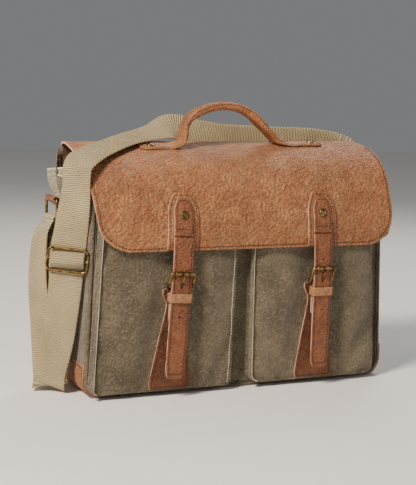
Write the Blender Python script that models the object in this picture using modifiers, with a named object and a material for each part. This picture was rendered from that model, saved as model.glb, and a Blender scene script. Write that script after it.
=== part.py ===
"""Messenger bag: canvas body, two bellows pockets, leather flap with two buckled closures,
rolled handle and a webbing shoulder strap with rings and a slider.

Sizes below are millimetres; one scale turns them to metres. +X is the bag's right side as
seen from the front, -Y its front and +Z up. The origin is under the middle of the base.
"""

import math

import bmesh
import bpy
from mathutils import Matrix, Vector

MM = 0.001
GAP = 0.3                       # clearance kept between touching pieces

# Body
HALF_BASE = 197.0               # half the width at the base
HALF_TOP = 190.0                # half the width at the mouth
HALF_DEPTH = 55.0
CORNER = 22.0                   # radius of the lower corners
WALL = 2.0                      # canvas with its backing
FRONT_TOP = 234.0
GUSSET_TOP = 240.0
BACK_TOP = 282.5
BOARD = 2.4                     # stiffener under the lining
LINER = 1.0

# Pockets: left and right edges at the mouth and at the foot
POCKET_PROUD = 11.0
POCKET_TOP = 204.0
POCKET_FOOT = 6.0
POCKET_EDGES = {"left": ((-184.0, -13.0), (-194.0, -19.0)), "right": ((4.0, 169.0), (5.0, 179.0))}
POCKET_CORNER = {"left": 7.0, "right": 12.0}
POCKET_WALL = 1.6

# Flap: back to front, as (y, z) on its outer face
HINGE_Y = HALF_DEPTH + 3.3
HINGE_Z = 284.5
FLAP_PROFILE = ((57.3, 285.2), (52.0, 290.5), (38.0, 292.0), (15.0, 288.5), (-10.0, 282.5),
                (-36.0, 270.5), (-56.0, 250.0), (-68.0, 224.0), (-75.5, 196.0), (-77.0, 171.0))
FLAP_HALF = 195.0
FLAP_TAPER = 10.0               # how far the left edge draws in at the front
FLAP_CORNER = 36.0
FLAP_THICK = 2.6
FLAP_TILT = 6.0                 # the crest stands this much higher at +X, and lower at -X
YOKE_FOOT = 222.0
YOKE_THICK = 2.0

# Closures
STRAP_WIDTH = 24.0
STRAP_THICK = 2.2
CLOSURES = {"left": (-88.5, math.radians(-3.5)), "right": (93.5, math.radians(-0.6))}
CLOSURE_Y = -79.8
CLOSURE_Z = 187.0
STRAP_PLANE = -83.6             # middle of the hanging strap
TAIL_Z = 23.0
PATCH_WIDTH = 38.0
PATCH_TOP = 236.0
PATCH_FOOT = 172.2
SEWN_TOP = 229.0
RIVET_Z = 212.0
BUCKLE_TOP = 146.0
HEEL_Z = 127.0
HEEL_Y = -77.9
TOP_BAR_Y = -87.0
BUCKLE_HALF = 14.2
PRONG = ((-2.9, 0.8), (-4.4, 4.8), (-6.9, 8.2), (-9.8, 11.5), (-11.8, 15.0), (-12.3, 19.0),
         (-12.3, 22.0))          # (y, z) from the heel bar
PRONG_WIRE = 1.1
TAB_THICK = 1.5
TAB_LENGTH = 38.0
BUCKLE_WIRE = 1.45
KEEPER_Z = 117.0
SNAP_Z = 101.0
HOLE_Z = 133.5

# Anchors on the pockets, as half widths at heights
ANCHOR = ((9.0, 27.0), (60.0, 19.0), (104.0, 11.5), (114.0, 14.0), (126.0, 20.0))
ANCHOR_THICK = 2.0

RIVET = ((0.0, 1.7), (2.0, 1.5), (3.4, 0.9), (3.9, 0.0), (0.0, 0.0))   # radius and height
PATCH_THICK = 1.6
SEWN_THICK = STRAP_THICK - 0.4

# Handle
HANDLE_Y = 10.0
HANDLE_AXIS_Z = 293.0
HANDLE_PATH = ((-55.0, 294.5), (-56.5, 305.0), (-53.5, 318.0), (-42.0, 330.0), (-22.0, 338.0), (0.0, 341.0),
               (19.0, 338.5), (35.0, 330.0), (48.0, 317.5), (59.0, 305.0), (67.0, 296.5))
HANDLE_RADIUS = 5.2
TABS = {"left": (-112.0, -62.0), "right": (75.0, 134.0)}
TAB_HALF = 13.5

# Shoulder strap
WEB_WIDTH = 38.0
WEB_THICK = 1.8
RING_HALF = 21.8                # half the ring's width, to the wire's middle
RING_HEIGHT = 23.0
RING_WIRE = 1.7
RING_X = 221.0
RING_Y = 3.0
RING_TOP = 226.0
RING_TAB_THICK = 1.6
RING_TAB_DROP = 46.0            # from the ring's top bar to the foot of its tab
SLIDER_AT = (-215.5, -43.5, 160.0)
SLIDER_HALF = 22.8
SLIDER_PITCH = 13.0             # between its centre bar and either outer bar
SLIDER_WIRE = 1.6


def clear_scene():
    """Removes every object that the file opened with."""
    for thing in list(bpy.data.objects):
        bpy.data.objects.remove(thing, do_unlink=True)


def collection(name):
    """A new collection in the scene."""
    made = bpy.data.collections.new(name)
    bpy.context.scene.collection.children.link(made)
    return made


def material(name, colour, roughness, metallic=0.0):
    """A Principled material in one colour."""
    made = bpy.data.materials.new(name)
    made.use_nodes = True
    shader = made.node_tree.nodes["Principled BSDF"]
    shader.inputs["Base Color"].default_value = (*colour, 1.0)
    shader.inputs["Roughness"].default_value = roughness
    shader.inputs["Metallic"].default_value = metallic
    return made


clear_scene()
BAG = collection("messenger_bag")
CUTTERS = collection("cutters")
CANVAS = material("waxed_canvas", (0.175, 0.150, 0.108), 0.92)
LINING = material("cotton_lining", (0.30, 0.25, 0.18), 0.95)
BOARD_CARD = material("fibreboard", (0.08, 0.07, 0.06), 0.9)
LEATHER = material("tan_leather", (0.42, 0.19, 0.08), 0.55)
WEBBING = material("ecru_webbing", (0.60, 0.48, 0.31), 0.85)
BRASS = material("antique_brass", (0.45, 0.34, 0.17), 0.38, 1.0)
STEEL = material("nickel_steel", (0.50, 0.49, 0.46), 0.35, 1.0)


def finish(thing, surface, parent=None):
    """Gives an object its material, its collection and its parent."""
    thing.data.materials.append(surface)
    BAG.objects.link(thing)
    if parent:
        thing.parent = parent
    return thing


def pivot_at(name, place, parent=None):
    """An empty on a joint's axis."""
    made = bpy.data.objects.new(name, None)
    BAG.objects.link(made)
    made.parent = parent
    made.location = Vector(place) * MM
    return made


def cut(piece, name, mesh, parent):
    """Cuts a hole through a piece with a closed mesh."""
    cutter = bpy.data.objects.new(name, mesh)
    CUTTERS.objects.link(cutter)
    cutter.parent = parent
    cutter.hide_render = True
    cutter.display_type = "WIRE"
    hole = piece.modifiers.new(name, "BOOLEAN")
    hole.operation = "DIFFERENCE"
    hole.object = cutter


def mesh_object(name, points, faces, surface, parent=None):
    """An object from points in millimetres and their faces."""
    mesh = bpy.data.meshes.new(name)
    mesh.from_pydata([Vector(p) * MM for p in points], [], faces)
    mesh.update()
    return finish(bpy.data.objects.new(name, mesh), surface, parent)


def rounded(corners, steps=5):
    """A closed outline through (x, y, radius) corners, each rounded by an arc."""
    outline = []
    count = len(corners)
    for i, (x, y, radius) in enumerate(corners):
        here = Vector((x, y))
        back = (Vector(corners[i - 1][:2]) - here).normalized()
        ahead = (Vector(corners[(i + 1) % count][:2]) - here).normalized()
        if radius <= 0:
            outline.append(here)
            continue
        half = back.angle(ahead) / 2
        centre = here + (back + ahead).normalized() * (radius / math.sin(half))
        first = here + back * (radius / math.tan(half)) - centre
        last = here + ahead * (radius / math.tan(half)) - centre
        turn = first.angle_signed(last)
        for k in range(steps + 1):
            outline.append(centre + Matrix.Rotation(-turn * k / steps, 2) @ first)
    return outline


def plate(name, outline, y_front, thickness, surface, parent=None):
    """A flat piece: an (x, z) outline with a thickness, its front face at y_front."""
    curve = bpy.data.curves.new(name, "CURVE")
    curve.dimensions = "2D"
    curve.fill_mode = "BOTH"
    curve.extrude = thickness * MM / 2
    spline = curve.splines.new("POLY")
    spline.points.add(len(outline) - 1)
    for point, (x, z) in zip(spline.points, outline):
        point.co = (x * MM, z * MM, 0.0, 1.0)
    spline.use_cyclic_u = True
    made = bpy.data.objects.new(name, curve)
    made.rotation_euler = (math.pi / 2, 0.0, 0.0)
    made.location = (0.0, (y_front + thickness / 2) * MM, 0.0)
    return finish(made, surface, parent)


def trapezoid(top, foot, z_top, z_foot, radius):
    """A panel's outline: left and right edges at the top and at the foot, lower corners rounded."""
    return rounded([(top[0], z_top, 0), (top[1], z_top, 0), (foot[1], z_foot, radius),
                    (foot[0], z_foot, radius)], 7)


def u_band(top, foot, z_top, z_foot, radius, wall):
    """The outline of a U-shaped wall that follows a panel's two sides and foot."""
    outer = trapezoid(top, foot, z_top, z_foot, radius)
    inner = trapezoid((top[0] + wall, top[1] - wall), (foot[0] + wall, foot[1] - wall),
                      z_top, z_foot + wall, max(radius - wall, 1.0))
    return outer[1:] + outer[:1] + inner[:1] + inner[:0:-1]


def wire(name, points, radius, surface, cyclic=True, parent=None, sides=2):
    """A round wire through its points."""
    curve = bpy.data.curves.new(name, "CURVE")
    curve.dimensions = "3D"
    curve.bevel_depth = radius * MM
    curve.bevel_resolution = sides
    curve.use_fill_caps = not cyclic
    spline = curve.splines.new("POLY")
    spline.points.add(len(points) - 1)
    for point, at in zip(spline.points, points):
        point.co = (*(Vector(at) * MM), 1.0)
    spline.use_cyclic_u = cyclic
    return finish(bpy.data.objects.new(name, curve), surface, parent)


def turned(name, profile, at, axis, surface, parent=None):
    """A turned piece: (radius, height) from top to bottom, at a place and along an axis."""
    mesh = bpy.data.meshes.new(name)
    mesh.from_pydata([(r * MM, 0.0, h * MM) for r, h in profile],
                     [(i, i + 1) for i in range(len(profile) - 1)], [])
    made = finish(bpy.data.objects.new(name, mesh), surface, parent)
    screw = made.modifiers.new("turn", "SCREW")
    screw.steps = screw.render_steps = 20
    screw.use_merge_vertices = True
    screw.merge_threshold = 0.00001
    made.rotation_mode = "QUATERNION"
    made.rotation_quaternion = Vector(axis).to_track_quat("Z", "Y")
    made.location = Vector(at) * MM
    return made


def smooth_path(points, step):
    """Points along a Catmull-Rom curve through the given ones; each may hold extra values."""
    path = []
    size = len(points[0])
    for i in range(len(points) - 1):
        p0, p1 = points[max(i - 1, 0)], points[i]
        p2, p3 = points[i + 1], points[min(i + 2, len(points) - 1)]
        span = math.dist(p1[:3], p2[:3])
        count = max(1, round(span / step))
        for k in range(count):
            t = k / count
            path.append(tuple(
                0.5 * (2 * p1[j] + (p2[j] - p0[j]) * t
                       + (2 * p0[j] - 5 * p1[j] + 4 * p2[j] - p3[j]) * t * t
                       + (3 * p1[j] - p0[j] - 3 * p2[j] + p3[j]) * t ** 3)
                for j in range(size)))
    path.append(tuple(points[-1]))
    return path


def strip_outline(path, thickness):
    """The outline of a strip of leather seen edge on, from the path of its middle."""
    sides = ([], [])
    last = len(path) - 1
    for i, at in enumerate(path):
        along = (Vector(path[min(i + 1, last)]) - Vector(path[max(i - 1, 0)])).normalized()
        out = Vector((-along.y, along.x)) * thickness / 2
        sides[0].append(Vector(at) + out)
        sides[1].append(Vector(at) - out)
    return sides[0] + sides[1][::-1]


def ribbon(name, stations, width, thickness, surface, parent=None):
    """A flat band: each station is its middle and the direction across it."""
    points, faces = [], []
    middles = [Vector(s[:3]) for s in stations]
    last = len(stations) - 1
    for i, station in enumerate(stations):
        along = (middles[min(i + 1, last)] - middles[max(i - 1, 0)]).normalized()
        across = Vector(station[3:6])
        across = (across - along * across.dot(along)).normalized()
        out = along.cross(across)
        for side, lift in ((-1, -1), (1, -1), (1, 1), (-1, 1)):
            points.append(middles[i] + across * side * width / 2 + out * lift * thickness / 2)
    for i in range(last):
        for k in range(4):
            a, b = 4 * i + k, 4 * i + (k + 1) % 4
            faces.append((a, b, b + 4, a + 4))
    faces.append((3, 2, 1, 0))
    faces.append(tuple(4 * last + k for k in range(4)))
    return mesh_object(name, points, faces, surface, parent)


# ---------------------------------------------------------------- flap surface

def from_hinge(point):
    """A place in the row's frame, measured from the flap's hinge."""
    return Vector(point) - Vector((0.0, HINGE_Y, HINGE_Z))


def flap_line():
    """The flap's profile as a dense run of (y, z) with the distance along it."""
    dense = smooth_path([(y, z, 0.0) for y, z in FLAP_PROFILE], 4.0)
    run, total = [], 0.0
    for i, (y, z, _) in enumerate(dense):
        if i:
            total += math.dist(dense[i - 1][:2], (y, z))
        run.append((total, y, z))
    return run


FLAP_LINE = flap_line()
FLAP_LENGTH = FLAP_LINE[-1][0]


def flap_point(x, s):
    """The point of the flap's outer face at x, a distance s from its back edge."""
    s = min(max(s, 0.0), FLAP_LENGTH)
    for (s0, y0, z0), (s1, y1, z1) in zip(FLAP_LINE, FLAP_LINE[1:]):
        if s <= s1:
            break
    t = (s - s0) / (s1 - s0)
    tilt = FLAP_TILT * (x / FLAP_HALF) * math.sin(math.pi * min(s / FLAP_LENGTH, 1.0)) ** 0.8
    return Vector((x, y0 + (y1 - y0) * t, z0 + (z1 - z0) * t + tilt))


def flap_normal(x, s):
    """The outward direction of the flap's face."""
    along = flap_point(x, min(s + 3.0, FLAP_LENGTH)) - flap_point(x, max(s - 3.0, 0.0))
    side = flap_point(x + 3.0, s) - flap_point(x - 3.0, s)
    return along.cross(side).normalized()


def reach_down(z, x):
    """The distance along the flap at which its front face is at height z."""
    low, high = FLAP_LENGTH * 0.4, FLAP_LENGTH
    for _ in range(30):
        middle = (low + high) / 2
        if flap_point(x, middle).z > z:
            low = middle
        else:
            high = middle
    return low


def on_flap(name, rows, lift, thickness, surface, parent, columns=4):
    """A sheet that lies on the flap. Each row is (start, end), two (x, s) places on the flap."""
    points, faces = [], []
    for (x0, s0), (x1, s1) in rows:
        for k in range(columns + 1):
            t = k / columns
            x, s = x0 + (x1 - x0) * t, s0 + (s1 - s0) * t
            points.append(from_hinge(flap_point(x, s) + flap_normal(x, s) * (lift + thickness)))
    wide = columns + 1
    for i in range(len(rows) - 1):
        for k in range(columns):
            a = i * wide + k
            faces.append((a, a + wide, a + wide + 1, a + 1))
    made = mesh_object(name, points, faces, surface, parent)
    shell = made.modifiers.new("thickness", "SOLIDIFY")
    shell.thickness = thickness * MM
    shell.offset = -1.0
    return made


# ---------------------------------------------------------------- pieces

def build_body():
    """The canvas body with its lining and base board."""
    foot, top = (-HALF_BASE, HALF_BASE), (-HALF_TOP, HALF_TOP)
    front = trapezoid(top, foot, FRONT_TOP, 0.0, CORNER)
    plate("front_panel", front, -HALF_DEPTH, WALL, CANVAS)
    back = trapezoid((-HALF_TOP + 2, HALF_TOP - 2), foot, BACK_TOP, 0.0, CORNER)
    plate("back_panel", back, HALF_DEPTH - WALL, WALL, CANVAS)
    inner = HALF_DEPTH - WALL - GAP
    plate("gusset_band", u_band(top, foot, GUSSET_TOP, 0.0, CORNER, WALL), -inner, 2 * inner, CANVAS)

    half, depth = HALF_TOP - WALL - 3.0, inner - 2.0
    floor = WALL + GAP
    board = rounded([(-half + 12, floor, 0), (-half + 12, floor + BOARD, 0), (half - 12, floor + BOARD, 0),
                     (half - 12, floor, 0)])
    plate("base_board", board, -depth, 2 * depth, BOARD_CARD)
    cage = bmesh.new()
    bmesh.ops.create_cube(cage, size=1.0)
    height = FRONT_TOP - 4.0 - (floor + BOARD + GAP)
    bmesh.ops.transform(cage, verts=cage.verts, matrix=Matrix.LocRotScale(
        Vector((0, 0, floor + BOARD + GAP + height / 2)) * MM, None,
        Vector((2 * (half - 9), 2 * depth, height)) * MM))
    lid = max(cage.faces, key=lambda f: f.calc_center_median().z)
    bmesh.ops.delete(cage, geom=[lid], context="FACES")
    mesh = bpy.data.meshes.new("lining")
    cage.to_mesh(mesh)
    cage.free()
    liner = finish(bpy.data.objects.new("lining", mesh), LINING)
    shell = liner.modifiers.new("thickness", "SOLIDIFY")
    shell.thickness = LINER * MM
    shell.offset = -1.0

    for side, sign in (("left", -1), ("right", 1)):
        side_patch(side, sign, inner)


def side_patch(side, sign, inner):
    """The leather patch that wraps a lower corner of the gusset."""
    thick = 1.6
    lean = (HALF_BASE - HALF_TOP) / GUSSET_TOP
    centre = Vector((HALF_BASE - CORNER, CORNER))
    inside, outside = CORNER + GAP + 0.4, CORNER + GAP + 0.4 + thick
    angles = [math.radians(a) for a in range(-58, 1, 8)]
    outer = [centre + Vector((math.cos(a), math.sin(a))) * outside for a in angles]
    inner_run = [centre + Vector((math.cos(a), math.sin(a))) * inside for a in angles]
    top = 49.0
    slide = lean * (top - CORNER)
    outer.append(Vector((outer[-1].x - slide, top)))
    inner_run.append(Vector((inner_run[-1].x - slide, top)))
    outline = outer + inner_run[::-1]
    plate(f"side_patch_{side}", [(sign * p.x, p.y) for p in outline], -inner, 2 * inner, LEATHER)


def build_pockets():
    """Two bellows pockets, each a U-shaped gusset and a face."""
    for side, (top, foot) in POCKET_EDGES.items():
        front = -HALF_DEPTH - POCKET_PROUD - POCKET_WALL
        radius = POCKET_CORNER[side]
        face = trapezoid(top, foot, POCKET_TOP, POCKET_FOOT, radius)
        plate(f"pocket_{side}_face", face, front, POCKET_WALL, CANVAS)
        band = u_band((top[0] + 0.5, top[1] - 0.5), (foot[0] + 0.5, foot[1] - 0.5), POCKET_TOP,
                      POCKET_FOOT + 0.5, radius, POCKET_WALL)
        plate(f"pocket_{side}_gusset", band, front + POCKET_WALL + GAP,
              POCKET_PROUD - 2 * GAP, CANVAS)


def build_flap(pivot):
    """The flap, its yoke on the back, and what is sewn or riveted to the flap."""
    rows = []
    count = 34
    for i in range(count + 1):
        s = FLAP_LENGTH * (1 - (1 - i / count) ** 1.35)
        left_draw = FLAP_TAPER * max(0.0, (s - 0.55 * FLAP_LENGTH) / (0.45 * FLAP_LENGTH))
        inset = 0.0
        below = FLAP_LENGTH - s
        if below < FLAP_CORNER:
            inset = FLAP_CORNER - math.sqrt(FLAP_CORNER ** 2 - (FLAP_CORNER - below) ** 2)
        rows.append(((-FLAP_HALF + left_draw + inset, s), (FLAP_HALF - inset, s)))
    on_flap("flap", rows, -FLAP_THICK, FLAP_THICK, LEATHER, pivot, columns=18)

    yoke = rounded([(-FLAP_HALF + 2, HINGE_Z - 2.8, 0), (FLAP_HALF - 2, HINGE_Z - 2.8, 0),
                    (FLAP_HALF - 4, YOKE_FOOT, 16), (-FLAP_HALF + 4, YOKE_FOOT, 16)])
    plate("flap_yoke", yoke, HALF_DEPTH + GAP, YOKE_THICK, LEATHER)

    for side, (x, _) in CLOSURES.items():
        strap_on_flap(side, x, pivot)


def strap_rows(x, width, z_top, z_foot, nose):
    """Rows for a strap on the flap's front whose top end is rounded over the nose length."""
    rows = []
    top, foot = reach_down(z_top, x), reach_down(z_foot, x)
    count = 12
    for i in range(count + 1):
        s = top + (foot - top) * (i / count) ** 1.4
        half = width / 2
        if s - top < nose:
            half *= 0.62 + 0.38 * math.sin(math.pi / 2 * (s - top) / nose)
        rows.append(((x - half, s), (x + half, s)))
    return rows


def strap_on_flap(side, x, pivot):
    """The backing patch, the sewn strap and its rivet on the flap's front."""
    on_flap(f"strap_patch_{side}", strap_rows(x, PATCH_WIDTH, PATCH_TOP, PATCH_FOOT, 16.0), GAP,
            PATCH_THICK, LEATHER, pivot)
    on_flap(f"strap_{side}_sewn", strap_rows(x, STRAP_WIDTH, SEWN_TOP, CLOSURE_Z + 0.8, 12.0),
            2 * GAP + PATCH_THICK, SEWN_THICK, LEATHER, pivot)
    s = reach_down(RIVET_Z, x)
    lift = 3 * GAP + PATCH_THICK + SEWN_THICK
    turned(f"strap_rivet_{side}", RIVET,
           from_hinge(flap_point(x, s) + flap_normal(x, s) * lift), flap_normal(x, s), BRASS, pivot)


def build_closure(side, flap_pivot):
    """A closure strap with its buckle, keeper and magnetic snap, hung from the flap."""
    x, lean = CLOSURES[side]
    hang = pivot_at(f"closure_{side}_pivot", from_hinge((x, CLOSURE_Y, CLOSURE_Z)), flap_pivot)
    hang.rotation_euler = (0.0, -lean, 0.0)

    def local(y, z):
        return y - CLOSURE_Y, z - CLOSURE_Z

    free_strap(side, hang, local)
    buckle(side, hang, local)
    keeper(side, hang, local)
    snap(side, hang, local)


def free_strap(side, hang, local):
    """The hanging strap with its holes and tapered tail."""
    bends = [(CLOSURE_Y - 0.1, CLOSURE_Z - 0.3), (CLOSURE_Y - 1.0, CLOSURE_Z - 9.0), (-81.8, 165.0),
             (STRAP_PLANE + 0.3, 152.0), (STRAP_PLANE, 140.0), (STRAP_PLANE, 90.0), (STRAP_PLANE, 40.0),
             (STRAP_PLANE, TAIL_Z)]
    middles = [(0.0, *local(y, z)) for y, z in bends]
    path = smooth_path(middles, 9.0)
    points, faces = [], []
    last = len(path) - 1
    for i, middle in enumerate(path):
        here = Vector(middle)
        along = (Vector(path[min(i + 1, last)]) - Vector(path[max(i - 1, 0)])).normalized()
        out = along.cross(Vector((1.0, 0.0, 0.0)))
        left = here.z - local(0.0, TAIL_Z)[1]
        half = STRAP_WIDTH / 2 - (3.4 * (1 - left / 14.0) ** 2 if left < 14.0 else 0.0)
        for u, v in ((-half, -1), (half, -1), (half, 1), (-half, 1)):
            points.append(here + Vector((u, 0, 0)) + out * v * STRAP_THICK / 2)
    for i in range(last):
        for k in range(4):
            a, b = 4 * i + k, 4 * i + (k + 1) % 4
            faces.append((a, a + 4, b + 4, b))
    faces += [(0, 1, 2, 3), tuple(4 * last + k for k in (3, 2, 1, 0))]
    strap = mesh_object(f"strap_{side}_free", points, faces, LEATHER, hang)
    holes = [(HOLE_Z, 2.7, 6.2), (95.0, 1.2, 1.2)]
    if side == "right":
        holes.append((156.0, 1.2, 1.2))
    for z, half_wide, half_tall in holes:
        hole_cutter(strap, local(STRAP_PLANE, z), half_wide, half_tall, hang)


def hole_cutter(strap, at, half_wide, half_tall, hang):
    """Cuts one hole through a strap."""
    tube = bmesh.new()
    bmesh.ops.create_cone(tube, cap_ends=True, segments=12, radius1=MM, radius2=MM, depth=12 * MM)
    mesh = bpy.data.meshes.new("hole")
    tube.to_mesh(mesh)
    tube.free()
    mesh.transform(Matrix.LocRotScale(Vector((0.0, at[0], at[1])) * MM,
                                      Matrix.Rotation(math.pi / 2, 3, "X").to_quaternion(),
                                      Vector((half_wide, half_tall, 1.0))))
    cut(strap, f"{strap.name}_hole_{len(strap.modifiers)}", mesh, hang)


def buckle(side, hang, local):
    """The wire frame, its prong, and the folded tab that holds its heel bar."""
    lean = math.atan2(TOP_BAR_Y - HEEL_Y, BUCKLE_TOP - HEEL_Z)
    height = math.hypot(TOP_BAR_Y - HEEL_Y, BUCKLE_TOP - HEEL_Z)
    flat = rounded([(-BUCKLE_HALF, 0.0, 2.2), (-BUCKLE_HALF, height, 3.0), (BUCKLE_HALF, height, 3.0),
                    (BUCKLE_HALF, 0.0, 2.2)], 4)
    heel = local(HEEL_Y, HEEL_Z)
    frame = [(u, heel[0] + v * math.sin(lean), heel[1] + v * math.cos(lean)) for u, v in flat]
    wire(f"buckle_{side}_frame", frame, BUCKLE_WIRE, BRASS, parent=hang)

    prong = pivot_at(f"prong_{side}_pivot", (0.0, *heel), hang)
    wire(f"buckle_{side}_prong", [(0.0, y, z) for y, z in PRONG], PRONG_WIRE, BRASS, cyclic=False,
         parent=prong)

    fold = BUCKLE_WIRE + GAP + TAB_THICK / 2
    close = TAB_THICK / 2 + 0.2
    path = [(-close, -TAB_LENGTH), (-close, -5.5), (-fold + 0.6, -2.4)]
    path += [(-fold * math.cos(a), fold * math.sin(a)) for a in map(math.radians, range(0, 181, 20))]
    path += [(fold - 0.6, -2.4), (close, -5.5), (close, 2.0 - TAB_LENGTH)]
    outline = strip_outline(path, TAB_THICK)
    half = STRAP_WIDTH / 2 - 1.0
    points = [(u, heel[0] + y, heel[1] + z) for u in (-half, half) for y, z in outline]
    count = len(outline)
    faces = [(k, (k + 1) % count, count + (k + 1) % count, count + k) for k in range(count)]
    faces += [tuple(range(count))[::-1], tuple(range(count, 2 * count))]
    tab = mesh_object(f"buckle_{side}_tab", points, faces, LEATHER, hang)
    # A slot at the top of the fold leaves the prong room.
    slot = bmesh.new()
    bmesh.ops.create_cube(slot, size=1.0)
    block = bpy.data.meshes.new("slot")
    slot.to_mesh(block)
    slot.free()
    block.transform(Matrix.LocRotScale(Vector((0.0, heel[0] - 3.2, heel[1] + 1.0)) * MM, None,
                                       Vector((4.4, 6.0, 12.0)) * MM))
    cut(tab, f"tab_{side}_slot", block, hang)


def keeper(side, hang, local):
    """The leather loop that holds the strap's tail against the tab."""
    y, z = local((STRAP_PLANE + HEEL_Y) / 2, KEEPER_Z)
    half_x, half_y, tall, thick = STRAP_WIDTH / 2 + 1.9, 6.1, 10.0, 1.3
    outer = rounded([(-half_x, -half_y, 2.0), (-half_x, half_y, 2.0), (half_x, half_y, 2.0),
                     (half_x, -half_y, 2.0)], 3)
    inner = rounded([(-half_x + thick, -half_y + thick, 0.9), (-half_x + thick, half_y - thick, 0.9),
                     (half_x - thick, half_y - thick, 0.9), (half_x - thick, -half_y + thick, 0.9)], 3)
    points, faces = [], []
    count = len(outer)
    for ring, height in ((outer, -tall / 2), (outer, tall / 2), (inner, tall / 2), (inner, -tall / 2)):
        points += [(p.x, y + p.y, z + height) for p in ring]
    for r in range(4):
        for k in range(count):
            a, b = r * count + k, r * count + (k + 1) % count
            c, d = ((r + 1) % 4) * count + (k + 1) % count, ((r + 1) % 4) * count + k
            faces.append((a, d, c, b))
    mesh_object(f"keeper_{side}", points, faces, LEATHER, hang)


def snap(side, hang, local):
    """The magnetic snap's upper half, on the buckle tab."""
    back = HEEL_Y + TAB_THICK + 0.2 + GAP
    turned(f"snap_{side}_cap", ((0.0, 3.2), (5.0, 3.2), (7.2, 2.2), (7.2, 0.0), (0.0, 0.0)),
           (0.0, *local(back, SNAP_Z)), (0.0, 1.0, 0.0), STEEL, hang)


def build_anchor(side):
    """The waisted leather anchor on a pocket, with the snap's lower half."""
    x, lean = CLOSURES[side]
    front = -HALF_DEPTH - POCKET_PROUD - POCKET_WALL - GAP - ANCHOR_THICK

    def along(z):
        return x + (CLOSURE_Z - z) * math.tan(lean)

    heights = smooth_path([(half, z, 0.0) for z, half in ANCHOR], 6.0)
    right = [(along(z) + half, z) for half, z, _ in heights]
    left = [(along(z) - half, z) for half, z, _ in heights]
    plate(f"anchor_{side}", right + left[::-1], front, ANCHOR_THICK, LEATHER)
    turned(f"snap_{side}_base", ((0.0, 2.1), (7.4, 2.1), (8.0, 1.2), (8.0, 0.0), (0.0, 0.0)),
           (along(SNAP_Z), front - GAP, SNAP_Z), (0.0, -1.0, 0.0), STEEL)


def build_handle(flap_pivot):
    """The rolled grip on its own axis, and the two riveted tabs on the flap."""
    pivot = pivot_at("handle_pivot", from_hinge((0.0, HANDLE_Y, HANDLE_AXIS_Z)), flap_pivot)
    path = smooth_path([(x, 0.0, z - HANDLE_AXIS_Z) for x, z in HANDLE_PATH], 7.0)
    wire("handle_grip", path, HANDLE_RADIUS, LEATHER, cyclic=False, parent=pivot, sides=3)

    middle = handle_reach()
    for side, (x0, x1) in TABS.items():
        rows = []
        count = 10
        for i in range(count + 1):
            x = x0 + (x1 - x0) * i / count
            from_tip = abs(x - (x0 if side == "left" else x1))
            half = TAB_HALF
            if from_tip < TAB_HALF:
                half = max(3.0, math.sqrt(TAB_HALF ** 2 - (TAB_HALF - from_tip) ** 2))
            rows.append(((x, middle - half), (x, middle + half)))
        on_flap(f"handle_tab_{side}", rows[::-1], GAP, 2.0, LEATHER, flap_pivot)
        tip = x0 + 14.0 if side == "left" else x1 - 14.0
        turned(f"handle_rivet_{side}", RIVET,
               from_hinge(flap_point(tip, middle) + flap_normal(tip, middle) * (2 * GAP + 2.0)),
               flap_normal(tip, middle), BRASS, flap_pivot)


def handle_reach():
    """The distance along the flap of the line under the handle."""
    return min((abs(y - HANDLE_Y), s) for s, y, z in FLAP_LINE)[1]


def build_ring(side, sign):
    """A side ring with the leather tab that holds it."""
    half, drop = RING_HALF, RING_HEIGHT
    flat = rounded([(-half, 0.0, 4.0), (half, 0.0, 4.0), (half, -drop, 4.0), (-half, -drop, 4.0)], 4)
    pivot = pivot_at(f"ring_{side}_pivot", (sign * RING_X, RING_Y, RING_TOP))
    wire(f"ring_{side}", [(0.0, u, v) for u, v in flat], RING_WIRE, BRASS, parent=pivot)

    fold = RING_WIRE + GAP + RING_TAB_THICK / 2
    wall = HALF_TOP + (HALF_BASE - HALF_TOP) * (1 - (RING_TOP - RING_TAB_DROP) / GUSSET_TOP) + GAP
    under, over = wall + RING_TAB_THICK / 2, wall + RING_TAB_THICK * 1.5 + 0.4
    path = [(over, RING_TOP - RING_TAB_DROP), (over, RING_TOP - 13.0), (RING_X - 4.2, RING_TOP + 1.2)]
    path += [(RING_X + fold * math.cos(a), RING_TOP + fold * math.sin(a))
             for a in map(math.radians, range(120, -75, -20))]
    path += [(under + 1.6, RING_TOP - 17.5), (under, RING_TOP - 21.0), (under, RING_TOP - RING_TAB_DROP)]
    outline = strip_outline(path, RING_TAB_THICK)
    plate(f"ring_tab_{side}", [(sign * x, z) for x, z in outline], RING_Y - 16.5, 33.0, LEATHER)


def build_slider():
    """The wire slider and its centre bar on the shoulder strap."""
    pivot = pivot_at("slider_pivot", SLIDER_AT)
    across, up, out = slider_axes()
    flat = rounded([(-SLIDER_HALF, SLIDER_PITCH, 5.5), (SLIDER_HALF, SLIDER_PITCH, 5.5),
                    (SLIDER_HALF, -SLIDER_PITCH, 5.5), (-SLIDER_HALF, -SLIDER_PITCH, 5.5)], 5)
    wire("slider_frame", [across * u + up * v for u, v in flat], SLIDER_WIRE, BRASS, parent=pivot)
    reach = SLIDER_HALF - SLIDER_WIRE - GAP
    wire("slider_bar", [across * -reach, across * reach], 1.4, BRASS, cyclic=False, parent=pivot)
    wrap = [-out * 6.6 - up * 14.0, -out * 5.6 - up * 7.5, -out * 3.9 - up * 3.6]
    wrap += [(up * math.sin(a) - out * math.cos(a)) * 2.65 for a in map(math.radians, range(-20, 221, 20))]
    ribbon("strap_end_fold", [(*p, *across) for p in wrap], WEB_WIDTH, 1.5, WEBBING, pivot)


def slider_axes():
    """The slider's directions: across the strap, up along it, and out of its face."""
    up = Vector((6.0, -2.5, 65.0)).normalized()
    across = Vector((0.90, -0.43, 0.0))
    across = (across - up * across.dot(up)).normalized()
    return across, up, across.cross(up)


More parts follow.
